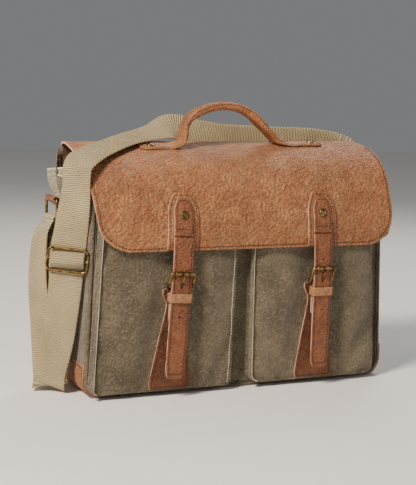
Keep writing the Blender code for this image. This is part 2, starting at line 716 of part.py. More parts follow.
# Shoulder strap: the middle of the webbing, then the direction across it.
CREST_RUN = ((196.0, 62.8, 283.0, -0.3, 0.0, -0.95), (188.0, 63.0, 285.6, -0.3, 0.0, -0.95),
             (150.0, 62.5, 290.5, 0.0, 0.0, -1.0), (90.0, 62.5, 292.0, 0.0, 0.0, -1.0),
             (20.0, 62.5, 294.0, 0.0, 0.0, -1.0), (-15.0, 63.5, 299.5, 0.0, -0.1, -1.0),
             (-48.0, 61.0, 308.5, 0.03, -0.55, -0.83), (-80.0, 50.0, 301.0, 0.1, -0.9, -0.36),
             (-118.0, 27.0, 295.0, 0.35, -0.9, -0.2), (-150.0, 3.0, 288.0, 0.5, -0.85, -0.16),
             (-180.0, -21.0, 280.0, 0.62, -0.75, -0.2), (-201.5, -39.0, 271.0, 0.74, -0.62, -0.2),
             (-210.8, -45.2, 264.0, 0.84, -0.54, -0.05), (-212.8, -46.7, 258.0, 0.87, -0.49, 0.0),
             (-213.0, -46.9, 254.0, 0.87, -0.49, 0.0))


def main_drop():
    """The strap's front layer from the flap's end down through the slider."""
    _, up, out = slider_axes()
    middle = Vector(SLIDER_AT)
    way = (0.90, -0.43, 0.0)
    run = [(-213.0, -47.0, 250.6, 0.87, -0.49, 0.0), (-213.1, -47.3, 244.0, 0.88, -0.47, 0.0),
           (*(middle + up * 62.0 - out * 1.5), *way), (*(middle + up * 34.0 - out * 2.5), *way)]
    for rise, lift in ((18.0, -3.6), (13.0, -3.7), (10.0, -3.2), (6.5, 1.0), (3.5, 4.4), (0.0, 5.4),
                       (-3.5, 4.4), (-6.5, 1.0), (-10.0, -3.2), (-13.0, -3.7), (-18.0, -3.6)):
        run.append((*(middle + up * rise + out * lift), *way))
    return run


def build_strap(flap_pivot):
    """The shoulder strap: over the flap, down each side, and doubled back through the left ring."""
    crest = smooth_path(CREST_RUN, 8.0)
    ribbon("strap_over_flap", [(*from_hinge(p[:3]), *p[3:]) for p in crest], WEB_WIDTH, WEB_THICK,
           WEBBING, flap_pivot)

    outer = main_drop() + [
        (-216.8, -36.5, 120.0, 0.87, -0.50, 0.0), (-220.0, -26.0, 70.0, 0.82, -0.57, 0.0),
        (-226.0, -17.0, 28.0, 0.74, -0.67, 0.0), (-226.5, -14.0, 15.0, 0.70, -0.71, 0.0),
        (-226.0, -8.0, 8.0, 0.69, -0.73, 0.0), (-225.0, 0.5, 11.0, 0.67, -0.74, 0.0),
        (-226.0, 5.0, 24.0, 0.63, -0.78, 0.0), (-231.0, 5.5, 70.0, 0.45, -0.89, 0.0),
        (-237.0, 4.0, 130.0, 0.30, -0.95, 0.0), (-235.0, 2.5, 180.0, 0.16, -0.98, 0.0),
        (-227.5, 2.5, 197.0, 0.0, -1.0, 0.0)]
    path = smooth_path(outer, 6.0)
    ring_bar = Vector((-RING_X, RING_Y, RING_TOP - RING_HEIGHT))
    clear = RING_WIRE + GAP + WEB_THICK / 2 + 0.6
    turn = [ring_bar + Vector((-math.cos(a), 0.0, math.sin(a))) * clear
            for a in map(math.radians, range(-20, 201, 20))]
    path += [(*p, 0.0, -1.0, 0.0) for p in turn]
    back = [(*(ring_bar + Vector((clear - 4.0, 0.0, -10.0))), 0.0, -1.0, 0.0),
            (-228.5, 2.0, 170.0, 0.16, -0.98, 0.0), (-231.2, 2.5, 130.0, 0.30, -0.95, 0.0),
            (-226.0, 3.5, 72.0, 0.45, -0.89, 0.0), (-220.5, 4.0, 30.0, 0.63, -0.78, 0.0),
            (-221.0, -4.0, 17.0, 0.68, -0.74, 0.0), (-222.0, -10.0, 17.5, 0.70, -0.72, 0.0),
            (-221.8, -12.6, 30.0, 0.74, -0.67, 0.0), (-217.6, -20.8, 72.0, 0.82, -0.57, 0.0),
            (-213.8, -31.0, 120.0, 0.87, -0.50, 0.0)]
    path += smooth_path(back, 6.0)
    ribbon("strap_left_loop", path, WEB_WIDTH, WEB_THICK, WEBBING)

    ring_bar = Vector((RING_X, RING_Y, RING_TOP - RING_HEIGHT))
    turn = [ring_bar + Vector((math.cos(a), 0.0, math.sin(a))) * clear
            for a in map(math.radians, range(180, -1, -20))]
    right = [(198.4, 62.7, 282.2, -0.3, 0.0, -0.95), (204.6, 62.4, 279.8, -0.36, 0.0, -0.93),
             (216.0, 58.0, 266.0, -0.75, -0.35, -0.5), (225.0, 46.0, 244.0, -0.45, -0.85, 0.1),
             (231.0, 25.0, 210.0, -0.1, -0.98, 0.1), (233.0, 8.0, 180.0, 0.0, -1.0, 0.0),
             (229.5, 3.2, 165.0, 0.0, -1.0, 0.0), (223.5, 3.0, 160.0, 0.0, -1.0, 0.0),
             (218.0, 3.0, 166.0, 0.0, -1.0, 0.0), (216.8, 3.0, 182.0, 0.0, -1.0, 0.0)]
    path = smooth_path(right, 6.0) + [(*p, 0.0, -1.0, 0.0) for p in turn]
    ribbon("strap_right_drop", path, WEB_WIDTH, WEB_THICK, WEBBING)


def main():
    """Builds the whole bag."""
    build_body()
    build_pockets()
    flap_pivot = pivot_at("flap_pivot", (0.0, HINGE_Y, HINGE_Z))
    build_flap(flap_pivot)
    for side in CLOSURES:
        build_closure(side, flap_pivot)
        build_anchor(side)
    build_handle(flap_pivot)
    for side, sign in (("left", -1), ("right", 1)):
        build_ring(side, sign)
    build_slider()
    build_strap(flap_pivot)


main()
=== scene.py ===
"""Looks of a messenger bag: washed canvas body, bellows pockets, pull-up leather flap with two
buckled closures, a folded leather handle and a herringbone webbing shoulder strap.

Lengths are millimetres until a mesh is made. +X is the bag's right as seen from its front, -Y its
front and +Z up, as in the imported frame.
"""
import logging
import math
from dataclasses import dataclass, field
from enum import Enum
from typing import Callable, Iterable, Sequence

import bmesh
import bpy
from mathutils import Matrix, Vector, noise
from mathutils.bvhtree import BVHTree


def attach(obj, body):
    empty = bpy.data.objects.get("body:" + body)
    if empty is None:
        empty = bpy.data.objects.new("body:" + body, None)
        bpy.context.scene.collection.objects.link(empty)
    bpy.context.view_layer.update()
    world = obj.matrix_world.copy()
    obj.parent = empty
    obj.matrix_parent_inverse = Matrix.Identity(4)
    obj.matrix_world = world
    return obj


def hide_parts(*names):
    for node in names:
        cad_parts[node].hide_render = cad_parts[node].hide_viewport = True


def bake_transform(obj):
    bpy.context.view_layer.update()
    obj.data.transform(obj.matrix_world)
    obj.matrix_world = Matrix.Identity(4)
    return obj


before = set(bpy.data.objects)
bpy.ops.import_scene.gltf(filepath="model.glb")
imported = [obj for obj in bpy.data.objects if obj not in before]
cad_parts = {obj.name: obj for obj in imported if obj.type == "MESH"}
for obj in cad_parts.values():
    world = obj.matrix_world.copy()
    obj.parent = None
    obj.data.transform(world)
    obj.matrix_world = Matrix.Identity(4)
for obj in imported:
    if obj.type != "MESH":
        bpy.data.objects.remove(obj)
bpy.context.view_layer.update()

Tree, Node, Socket, Piece = bpy.types.NodeTree, bpy.types.Node, bpy.types.NodeSocket, bpy.types.Object
MM = 0.001
RING_X, RING_Y, RING_TOP, RING_WIRE = 221.0, 3.0, 226.0, 1.7        # the side rings' upper bars
X, Y, Z = Vector((1, 0, 0)), Vector((0, 1, 0)), Vector((0, 0, 1))

logging.basicConfig(level=logging.INFO, format="%(message)s")
LOG = logging.getLogger("messenger_bag")


class Side(Enum):
    """The bag's two sides as seen from its front."""

    LEFT = "left"
    RIGHT = "right"

    @property
    def sign(self) -> int:
        """-1 on the left, 1 on the right."""
        return -1 if self is Side.LEFT else 1

    def __str__(self) -> str:
        """The side's word, as names of pieces use it."""
        return self.value


# ---- node and colour helpers

def linear(code: str) -> tuple[float, float, float, float]:
    """Turns an sRGB hex colour into linear values.

    Args:
        code: Six hex digits, with or without a hash sign.

    Returns:
        Linear red, green, blue and an alpha of one.
    """
    code = code.lstrip("#")
    values = [int(code[i:i + 2], 16) / 255 for i in (0, 2, 4)]
    return (*[v / 12.92 if v <= 0.04045 else ((v + 0.055) / 1.055) ** 2.4 for v in values], 1.0)


def feed(tree: Tree, made: Node, inputs: dict) -> None:
    """Sets a node's inputs, each to a constant or from the output socket that feeds it."""
    for key, value in inputs.items():
        if isinstance(value, Socket):
            tree.links.new(value, made.inputs[key])
        else:
            made.inputs[key].default_value = value


def add(tree: Tree, kind: str, inputs: dict | None = None, **settings) -> Node:
    """Adds a node with its settings, constants and links.

    Args:
        tree: The tree that gets the node.
        kind: The node's type name.
        inputs: Input name or number to a constant, or to the output socket that feeds it.
        **settings: Properties of the node.

    Returns:
        The new node.
    """
    made = tree.nodes.new(kind)
    for key, value in settings.items():
        setattr(made, key, value)
    feed(tree, made, inputs or {})
    return made


def ramp(tree: Tree, factor: Socket,
         stops: Sequence[tuple[float, object]]) -> Socket:
    """A colour ramp.

    Args:
        tree: The tree that gets the ramp.
        factor: What drives it.
        stops: Position with a hex colour or a grey value, in order.

    Returns:
        The ramp's colour output.
    """
    made = add(tree, "ShaderNodeValToRGB", {"Fac": factor})
    elements = made.color_ramp.elements
    while len(elements) < len(stops):
        elements.new(0.5)
    for element, (place, value) in zip(elements, stops):
        element.position = place
        element.color = linear(value) if isinstance(value, str) else (value, value, value, 1.0)
    return made.outputs["Color"]


def mixed(tree: Tree, factor: object, first: object, second: object,
          blend: str = "MIX") -> Socket:
    """Mixes two colours, each a socket or a hex code.

    Args:
        tree: The tree that gets the node.
        factor: The share of the second colour.
        first: The colour at a factor of zero.
        second: The colour at a factor of one.
        blend: The blend mode.

    Returns:
        The mixed colour.
    """
    first, second = (linear(c) if isinstance(c, str) else c for c in (first, second))
    made = add(tree, "ShaderNodeMix", {0: factor, 6: first, 7: second}, data_type="RGBA", blend_type=blend)
    return made.outputs[2]


def computed(tree: Tree, operation: str, *values: object) -> Socket:
    """The result of a Math node on sockets or numbers."""
    return add(tree, "ShaderNodeMath", dict(enumerate(values)), operation=operation).outputs[0]


# ---- finishes

@dataclass(frozen=True)
class Finish:
    """A material that is built once, on first use."""

    name: str

    def material(self) -> bpy.types.Material:
        """The Blender material, built when it is first asked for."""
        made = bpy.data.materials.get(self.name)
        if made is None:
            made = bpy.data.materials.new(self.name)
            made.use_nodes = True
            tree = made.node_tree
            shader = tree.nodes["Principled BSDF"]
            place = add(tree, "ShaderNodeTexCoord").outputs["Object"]
            scaled = add(tree, "ShaderNodeMapping", {"Vector": place, "Scale": (1 / MM, 1 / MM, 1 / MM)})
            self.paint(tree, shader, scaled.outputs["Vector"])
        return made

    def paint(self, tree: Tree, shader: Node, place: Socket) -> None:
        """Adds the finish's own nodes.

        Args:
            tree: The material's tree.
            shader: Its Principled shader.
            place: Object coordinates in millimetres.
        """
        raise NotImplementedError


@dataclass(frozen=True)
class PullUpLeather(Finish):
    """Pull-up cowhide, tumbled and waxed: pebbled, mottled where the wax moved, pale along creases."""

    base: str = "#a4633a"
    deep: str = "#6f3d20"
    pale: str = "#cd945f"
    pebble_mm: float = 3.1
    mottle_mm: float = 70.0
    roughness: float = 0.58
    relief_mm: float = 1.6

    def paint(self, tree: Tree, shader: Node, place: Socket) -> None:
        """Mottled colour, creases and pebble grain; see Finish.paint."""
        mottle = add(tree, "ShaderNodeTexNoise", {
            "Vector": place, "Scale": 1 / self.mottle_mm, "Detail": 3.0, "Distortion": 0.6}).outputs["Fac"]
        patch = add(tree, "ShaderNodeTexNoise", {
            "Vector": place, "Scale": 3.2 / self.mottle_mm, "Detail": 4.0, "Roughness": 0.6}).outputs["Fac"]
        bent = add(tree, "ShaderNodeTexNoise", {"Vector": place, "Scale": 1 / 7.0, "Detail": 2.0})
        warp = add(tree, "ShaderNodeVectorMath", {0: bent.outputs["Color"], 1: (3.2, 3.2, 3.2)},
                   operation="MULTIPLY").outputs[0]
        drawn = add(tree, "ShaderNodeVectorMath", {0: place, 1: (0.8, 1.0, 1.0)},
                    operation="MULTIPLY").outputs[0]
        bent_place = add(tree, "ShaderNodeVectorMath", {0: drawn, 1: warp}, operation="ADD").outputs[0]
        pebble = add(tree, "ShaderNodeTexVoronoi", {
            "Vector": bent_place, "Scale": 1 / self.pebble_mm, "Smoothness": 0.35}, feature="SMOOTH_F1")
        pebble = pebble.outputs["Distance"]
        grain = add(tree, "ShaderNodeTexNoise", {"Vector": place, "Scale": 1 / 5.0, "Detail": 4.0,
                                                 "Roughness": 0.65, "Distortion": 0.9}).outputs["Fac"]
        # Long fine wrinkles, where the wax breaks pale.
        wander = add(tree, "ShaderNodeTexNoise", {"Vector": place, "Scale": 1 / 12.0, "Detail": 4.0,
                                                  "Roughness": 0.6, "Distortion": 1.6}).outputs["Fac"]
        away = computed(tree, "ABSOLUTE", computed(tree, "SUBTRACT", wander, 0.5))
        crease = ramp(tree, away, ((0.0, 1.0), (0.014, 0.5), (0.036, 0.0)))
        colour = mixed(tree, ramp(tree, mottle, ((0.28, 0.1), (0.58, 1.0))), self.deep, self.base)
        colour = mixed(tree, ramp(tree, patch, ((0.4, 0.0), (0.75, 0.6))), colour, self.pale)
        # Painted shade: the pebbles' valleys are drawn darker than their tops.
        pebble_valley_shade = ramp(tree, pebble, ((0.32, 0.0), (0.7, 0.42)))
        colour = mixed(tree, pebble_valley_shade, colour, self.deep)
        fleck = ramp(tree, grain, ((0.5, 0.0), (0.72, 0.4)))
        colour = mixed(tree, fleck, colour, self.pale)
        colour = mixed(tree, computed(tree, "MULTIPLY", crease, 0.6), colour, self.pale)
        rough = add(tree, "ShaderNodeMapRange", {
            "Value": grain, "From Min": 0.3, "From Max": 0.7,
            "To Min": self.roughness - 0.1, "To Max": self.roughness + 0.14})
        height = computed(tree, "MULTIPLY_ADD", grain, 0.5, computed(tree, "MULTIPLY", pebble, -1.5))
        height = computed(tree, "MULTIPLY_ADD", crease, -0.5, height)
        bump = add(tree, "ShaderNodeBump", {"Height": height, "Distance": self.relief_mm * MM})
        feed(tree, shader, {"Base Color": colour, "Roughness": rough.outputs[0], "Normal": bump.outputs[0],
                            "Specular IOR Level": 0.42, "Sheen Weight": 0.08})


@dataclass(frozen=True)
class CutEdge(Finish):
    """The raw cut edge of leather or canvas: pale, fibrous and matt."""

    base: str = "#c9a48c"
    deep: str = "#8d6046"

    def paint(self, tree: Tree, shader: Node, place: Socket) -> None:
        """Pale fibres with darker stretches; see Finish.paint."""
        fibre, worn = (add(tree, "ShaderNodeTexNoise", {"Vector": place, "Scale": 1 / size, "Detail": detail})
                       .outputs["Fac"] for size, detail in ((1.2, 3.0), (22.0, 2.0)))
        colour = mixed(tree, ramp(tree, worn, ((0.35, 1.0), (0.55, 0.1))), self.base, self.deep)
        colour = mixed(tree, ramp(tree, fibre, ((0.45, 0.0), (0.8, 0.4))), colour, self.deep)
        bump = add(tree, "ShaderNodeBump", {"Height": fibre, "Distance": 0.3 * MM, "Strength": 0.7})
        feed(tree, shader, {"Base Color": colour, "Roughness": 0.85, "Normal": bump.outputs[0]})


@dataclass(frozen=True)
class WashedCanvas(Finish):
    """Heavy cotton canvas, garment washed: heathered yarns, a brushed nap drawn darker in its hollows and
    paler on its tops (painted shade and painted highlight), and paler worn stretches.
    """

    base: str = "#82745e"
    deep: str = "#4d4334"
    pale: str = "#b8ab93"
    yarn_mm: float = 1.5            # drawn about twice the real yarn so that the weave still shows
    nap_mm: float = 2.7

    def paint(self, tree: Tree, shader: Node, place: Socket) -> None:
        """Heather, plain weave and nap; see Finish.paint."""
        cloud = add(tree, "ShaderNodeTexNoise", {
            "Vector": place, "Scale": 1 / 55.0, "Detail": 4.0, "Roughness": 0.6}).outputs["Fac"]
        nap = add(tree, "ShaderNodeTexNoise", {
            "Vector": place, "Scale": 1 / self.nap_mm, "Detail": 1.5, "Roughness": 0.6}).outputs["Fac"]
        weave = None
        for spin in ((1.0, 0.0, 0.0), (0.0, 0.0, 1.0)):
            run = add(tree, "ShaderNodeVectorMath", {0: place, 1: spin}, operation="DOT_PRODUCT")
            jitter = computed(tree, "MULTIPLY_ADD", nap, 1.6, run.outputs["Value"])
            wave = computed(tree, "SINE", computed(tree, "MULTIPLY", jitter, 2 * math.pi / self.yarn_mm))
            weave = wave if weave is None else computed(tree, "MULTIPLY", weave, wave)
        heather = add(tree, "ShaderNodeTexNoise", {
            "Vector": place, "Scale": 1 / 1.3, "Detail": 2.0, "Roughness": 0.8}).outputs["Fac"]
        colour = mixed(tree, ramp(tree, cloud, ((0.3, 0.15), (0.66, 1.0))), self.deep, self.base)
        # Painted shade and painted highlight: the nap's colour follows its bump height, darker in its hollows
        # and paler on its tops.
        colour = mixed(tree, ramp(tree, nap, ((0.34, 0.3), (0.5, 0.0))), colour, self.deep)
        colour = mixed(tree, ramp(tree, nap, ((0.5, 0.0), (0.74, 0.3))), colour, self.pale)
        colour = mixed(tree, ramp(tree, heather, ((0.38, 0.45), (0.52, 0.0))), colour, self.deep)
        height = computed(tree, "MULTIPLY_ADD", weave, 0.06, nap)
        height = computed(tree, "MULTIPLY_ADD", heather, 0.12, height)
        bump = add(tree, "ShaderNodeBump", {"Height": height, "Distance": 3.2 * MM, "Strength": 1.0})
        feed(tree, shader, {"Base Color": colour, "Roughness": 0.93, "Normal": bump.outputs[0],
                            "Specular IOR Level": 0.2, "Sheen Weight": 0.22, "Sheen Roughness": 0.5})


@dataclass(frozen=True)
class HerringboneWebbing(Finish):
    """Undyed cotton webbing, 38 mm wide: crosswise ribs broken by herringbone dots, matt."""

    base: str = "#ecd8aa"
    deep: str = "#7c663c"
    rib_mm: float = 2.3
    dot_mm: float = 2.1

    def paint(self, tree: Tree, shader: Node, place: Socket) -> None:
        """Ribs and dots on the strap's own map, in millimetres across and along; see Finish.paint."""
        weave = add(tree, "ShaderNodeUVMap", uv_map="weave").outputs["UV"]
        parts = add(tree, "ShaderNodeSeparateXYZ", {"Vector": weave})
        across, along = parts.outputs["X"], parts.outputs["Y"]
        turn = 2 * math.pi
        rib = computed(tree, "SINE", computed(tree, "MULTIPLY", along, turn / self.rib_mm))
        folded = computed(tree, "PINGPONG", across, 6.4)
        slant = computed(tree, "ADD", computed(tree, "MULTIPLY", folded, turn / self.dot_mm),
                         computed(tree, "MULTIPLY", along, turn / (2 * self.rib_mm)))
        dots = computed(tree, "SINE", slant)
        relief = computed(tree, "MULTIPLY_ADD", dots, 0.55, rib)
        fuzz, soil = (add(tree, "ShaderNodeTexNoise", {"Vector": place, "Scale": 1 / size, "Detail": detail})
                      .outputs["Fac"] for size, detail in ((1.6, 2.0), (40.0, 3.0)))
        shade = add(tree, "ShaderNodeMapRange", {
            "Value": relief, "From Min": -1.5, "From Max": 0.7, "To Min": 0.9, "To Max": 0.0}).outputs[0]
        colour = mixed(tree, shade, self.base, self.deep)
        colour = mixed(tree, ramp(tree, soil, ((0.4, 0.0), (0.75, 0.35))), colour, self.deep)
        colour = mixed(tree, ramp(tree, fuzz, ((0.5, 0.0), (0.8, 0.3))), colour, "#e3cf9f")
        height = computed(tree, "MULTIPLY_ADD", fuzz, 0.7, relief)
        bump = add(tree, "ShaderNodeBump", {"Height": height, "Distance": 0.8 * MM, "Strength": 1.0})
        feed(tree, shader, {"Base Color": colour, "Roughness": 0.9, "Normal": bump.outputs[0],
                            "Specular IOR Level": 0.2, "Sheen Weight": 0.15})


@dataclass(frozen=True)
class Plated(Finish):
    """Cast or drawn metal with a worn plate: antique brass or satin nickel."""

    base: str = "#a08352"
    deep: str = "#382a17"
    roughness: float = 0.27

    def paint(self, tree: Tree, shader: Node, place: Socket) -> None:
        """Bright rubbed stretches and dark patina; see Finish.paint."""
        rub = add(tree, "ShaderNodeTexNoise", {
            "Vector": place, "Scale": 1 / 6.0, "Detail": 4.0, "Roughness": 0.65}).outputs["Fac"]
        pit = add(tree, "ShaderNodeTexNoise", {"Vector": place, "Scale": 1 / 0.8, "Detail": 2.0}).outputs[0]
        colour = mixed(tree, ramp(tree, rub, ((0.36, 0.0), (0.6, 1.0))), self.deep, self.base)
        rough = add(tree, "ShaderNodeMapRange", {
            "Value": rub, "From Min": 0.3, "From Max": 0.7,
            "To Min": self.roughness + 0.2, "To Max": self.roughness - 0.06})
        bump = add(tree, "ShaderNodeBump", {"Height": pit, "Distance": 0.08 * MM, "Strength": 0.6})
        feed(tree, shader, {"Base Color": colour, "Roughness": rough.outputs[0], "Normal": bump.outputs[0],
                            "Metallic": 1.0})


@dataclass(frozen=True)
class WaxedThread(Finish):
    """Twisted polyester thread, waxed: a fine slanted twist and a dull gloss."""

    base: str = "#1f110a"
    pale: str = "#3a2316"

    def paint(self, tree: Tree, shader: Node, place: Socket) -> None:
        """Light and dark plies; see Finish.paint."""
        ply = add(tree, "ShaderNodeTexNoise", {"Vector": place, "Scale": 1 / 0.6, "Detail": 1.0}).outputs[0]
        colour = mixed(tree, ramp(tree, ply, ((0.4, 0.0), (0.7, 1.0))), self.base, self.pale)
        feed(tree, shader, {"Base Color": colour, "Roughness": 0.6})


@dataclass(frozen=True)
class PressedBoard(Finish):
    """Compressed fibreboard: dark, flecked with lighter fibres, matt."""

    base: str = "#3a352e"
    pale: str = "#5d5547"

    def paint(self, tree: Tree, shader: Node, place: Socket) -> None:
        """Flecked fibres; see Finish.paint."""
        fleck = add(tree, "ShaderNodeTexNoise", {"Vector": place, "Scale": 1 / 2.5, "Detail": 4.0})
        colour = mixed(tree, ramp(tree, fleck.outputs["Fac"], ((0.5, 0.0), (0.7, 1.0))), self.base, self.pale)
        feed(tree, shader, {"Base Color": colour, "Roughness": 0.9})


LEATHER = PullUpLeather("pull_up_leather")
HANDLE_LEATHER = PullUpLeather("handle_leather", base="#9a5d37", pebble_mm=2.4, mottle_mm=90.0, relief_mm=0.8)
STRAP_LEATHER = PullUpLeather("strap_leather", base="#83492a", deep="#643620", pale="#ab6d42", pebble_mm=2.6,
                              mottle_mm=44.0, relief_mm=1.1)
ANCHOR_LEATHER = PullUpLeather("oiled_leather", base="#6a3a1f", deep="#472412", pale="#8b5330", pebble_mm=2.4,
                               mottle_mm=40.0, relief_mm=0.8)
KEEPER_LEATHER = PullUpLeather("keeper_leather", base="#ad7447", deep="#875433", pale="#cf9c6c", pebble_mm=2.4,
                               mottle_mm=24.0, relief_mm=0.7)
FLESH_SIDE = CutEdge("leather_flesh_side", base="#5f3d28", deep="#432a1b")
# Cut leather edges are pale, and this one is set paler still as painted highlight along the flap's lit rim.
LEATHER_EDGE = CutEdge("leather_cut_edge", base="#d8af95", deep="#9c6a4b")
CANVAS = WashedCanvas("washed_canvas")
# Raw canvas edges are pale; this near-white also stands in, as painted highlight, for light caught along the
# pockets' left ridges.
CANVAS_EDGE = CutEdge("canvas_raw_edge", base="#ddd3bd", deep="#b3a68c")
LINING = WashedCanvas("cotton_lining", base="#a08f70", deep="#83745a", pale="#b6a687", yarn_mm=1.2, nap_mm=6.0)
WEBBING = HerringboneWebbing("cotton_webbing")
# A paler copy of the canvas for the gusset's top corner: painted light where the light from the left catches
# it.
PAINTED_LIT_CANVAS = WashedCanvas("canvas_painted_lit", base="#b8ac96", deep="#94886f", pale="#ded5c4")
BRASS = Plated("antique_brass")
STEEL = Plated("satin_nickel", base="#b9b5aa", deep="#6d6a62", roughness=0.3)
DARK_THREAD = WaxedThread("brown_thread")
CREAM_THREAD = WaxedThread("cream_thread", base="#d8ccb0", pale="#efe7d2")
OLIVE_THREAD = WaxedThread("olive_thread", base="#4d4535", pale="#6f6650")
BOARD = PressedBoard("fibreboard")


# ---- mesh helpers

@dataclass
class Station:
    """One cross-section of a strap: its middle, its two directions and its width and thickness."""

    at: Vector
    across: Vector
    out: Vector
    half: float
    thick: float

    def spot(self, u: float, lift: float = 0.0) -> Vector:
        """A point on the outer face, u from the middle and lift above the face."""
        return self.at + self.across * u + self.out * (self.thick / 2 + lift)


def new_object(name: str, points: Sequence[Vector], faces: Sequence[tuple[int, ...]],
               finishes: Sequence[Finish], slots: Sequence[int] = ()) -> Piece:
    """A smooth-shaded mesh object.

    Args:
        name: The piece's name.
        points: Vertices in millimetres.
        faces: Vertex numbers of each face.
        finishes: One finish for each material slot.
        slots: The slot of each face, or nothing where all faces use the first.

    Returns:
        The object, at the origin and linked to the scene.
    """
    mesh = bpy.data.meshes.new(name)
    mesh.from_pydata([Vector(p) * MM for p in points], [], faces)
    for finish in finishes:
        mesh.materials.append(finish.material())
    for face, slot in zip(mesh.polygons, slots):
        face.material_index = slot
    mesh.shade_smooth()
    made = bpy.data.objects.new(name, mesh)
    bpy.context.scene.collection.objects.link(made)
    return made


def outward(made: Piece) -> Piece:
    """Turns a closed mesh's faces outwards and returns the object."""
    shell = bmesh.new()
    shell.from_mesh(made.data)
    bmesh.ops.recalc_face_normals(shell, faces=shell.faces)
    shell.to_mesh(made.data)
    shell.free()
    made.data.set_sharp_from_angle(angle=math.radians(50))
    return made


def applied(made: Piece) -> Piece:
    """Replaces an object's mesh by its evaluated one and removes its modifiers."""
    graph = bpy.context.evaluated_depsgraph_get()
    done = bpy.data.meshes.new_from_object(made.evaluated_get(graph))
    made.modifiers.clear()
    made.data = done
    return made


def walled(made: Piece, thick: float, **settings: int) -> Piece:
    """Gives an open sheet a wall behind its face, with any further settings of the modifier."""
    wall = made.modifiers.new("wall", "SOLIDIFY")
    wall.thickness = thick * MM
    wall.offset = -1.0
    for key, value in settings.items():
        setattr(wall, key, value)
    return made


def grid(rows: int, columns: int) -> list[tuple[int, int, int, int]]:
    """The faces of a sheet whose points run row by row, with one more point than columns in each."""
    wide = columns + 1
    return [(a, a + wide, a + wide + 1, a + 1)
            for n in range(rows) for a in range(n * wide, n * wide + columns)]


def directions(path: Sequence[Sequence[float]], closed: bool = False) -> list[Vector]:
    """The direction of a path at each of its points, from the points before and after it."""
    count = len(path)
    ways = []
    for i in range(count):
        ahead = path[(i + 1) % count] if closed else path[min(i + 1, count - 1)]
        behind = path[i - 1] if closed else path[max(i - 1, 0)]
        ways.append((Vector(ahead) - Vector(behind)).normalized())
    return ways


def strap(name: str, stations: Sequence[Station], finish: Finish, edge: Finish | None = LEATHER_EDGE,
          columns: int = 6, corner: float = 0.55) -> Piece:
    """A closed strap or panel of leather or cloth with softened edges.

    Args:
        name: The piece's name.
        stations: Its cross-sections in order.
        finish: The finish of both faces.
        edge: The finish of the cut edges, or nothing for the same as the faces.
        columns: Faces across the width.
        corner: The radius of the long edges.

    Returns:
        The strap.
    """
    points, faces, slots = [], [], []
    edge_at = {columns + 1, columns + 2, columns + 3, 2 * columns + 6, 2 * columns + 7, 2 * columns + 8}
    for station in stations:
        r = min(corner, station.thick * 0.49, station.half * 0.5)
        flat, tall = station.half - r, station.thick / 2
        ring = [(-flat + 2 * flat * k / columns, tall) for k in range(columns + 1)]
        ring += [(flat + 0.7 * r, tall - 0.3 * r), (station.half, tall - r), (station.half, r - tall),
                 (flat + 0.7 * r, 0.3 * r - tall)]
        ring += [(-u, -v) for u, v in ring]
        points += [station.at + station.across * u + station.out * v for u, v in ring]
    count = 2 * (columns + 5)
    for i in range(len(stations) - 1):
        for k in range(count):
            a, b = i * count + k, i * count + (k + 1) % count
            faces.append((a, b, b + count, a + count))
            slots.append(1 if edge and k in edge_at else 0)
    last = (len(stations) - 1) * count
    faces += [tuple(range(count)), tuple(range(last, last + count))]
    slots += [1 if edge else 0] * 2
    return outward(new_object(name, points, faces, [finish, edge] if edge else [finish], slots))


def tube(name: str, path: Sequence[Vector], radius: float | Callable[[float], float], finish: Finish,
         plane: Vector, closed: bool = False, sides: int = 12) -> Piece:
    """A round wire or bead.

    Args:
        name: The piece's name.
        path: Its centre line.
        radius: Its radius, or a function of the share of its length.
        finish: Its finish.
        plane: A direction that the path never runs along.
        closed: Whether the path is a ring.
        sides: Faces round the wire.

    Returns:
        The wire.
    """
    points, faces = [], []
    count = len(path)
    for i, (here, along) in enumerate(zip(path, directions(path, closed))):
        side = along.cross(plane).normalized()
        up = side.cross(along)
        size = radius(i / (count - 1)) if callable(radius) else radius
        for k in range(sides):
            a = 2 * math.pi * k / sides
            points.append(Vector(here) + side * math.cos(a) * size + up * math.sin(a) * size)
    for i in range(count if closed else count - 1):
        for k in range(sides):
            a, b = i * sides + k, i * sides + (k + 1) % sides
            c, d = ((i + 1) % count) * sides + (k + 1) % sides, ((i + 1) % count) * sides + k
            faces.append((a, b, c, d))
    if not closed:
        last = (count - 1) * sides
        faces += [tuple(range(sides)), tuple(range(last, last + sides))]
    return outward(new_object(name, points, faces, [finish]))


def turned(name: str, profile: Sequence[tuple[float, float]], at: Vector, axis: Vector,
           finish: Finish, segments: int = 32) -> Piece:
    """A turned piece.

    Args:
        name: The piece's name.
        profile: (radius, height) pairs that start and end on the axis.
        at: The place of height zero.
        axis: The direction of height.
        finish: Its finish.
        segments: Faces round it.

    Returns:
        The piece.
    """
    spin = Vector(axis).to_track_quat("Z", "Y")
    points, faces = [], []
    rings = profile[1:-1]
    for radius, height in rings:
        for k in range(segments):
            a = 2 * math.pi * k / segments
            points.append(at + spin @ Vector((radius * math.cos(a), radius * math.sin(a), height)))
    for i in range(len(rings) - 1):
        for k in range(segments):
            a, b = i * segments + k, i * segments + (k + 1) % segments
            faces.append((a, b, b + segments, a + segments))
    for end, first in ((profile[0], 0), (profile[-1], (len(rings) - 1) * segments)):
        points.append(at + spin @ Vector((0.0, 0.0, end[1])))
        faces += [(first + k, first + (k + 1) % segments, len(points) - 1) for k in range(segments)]
    return outward(new_object(name, points, faces, [finish]))


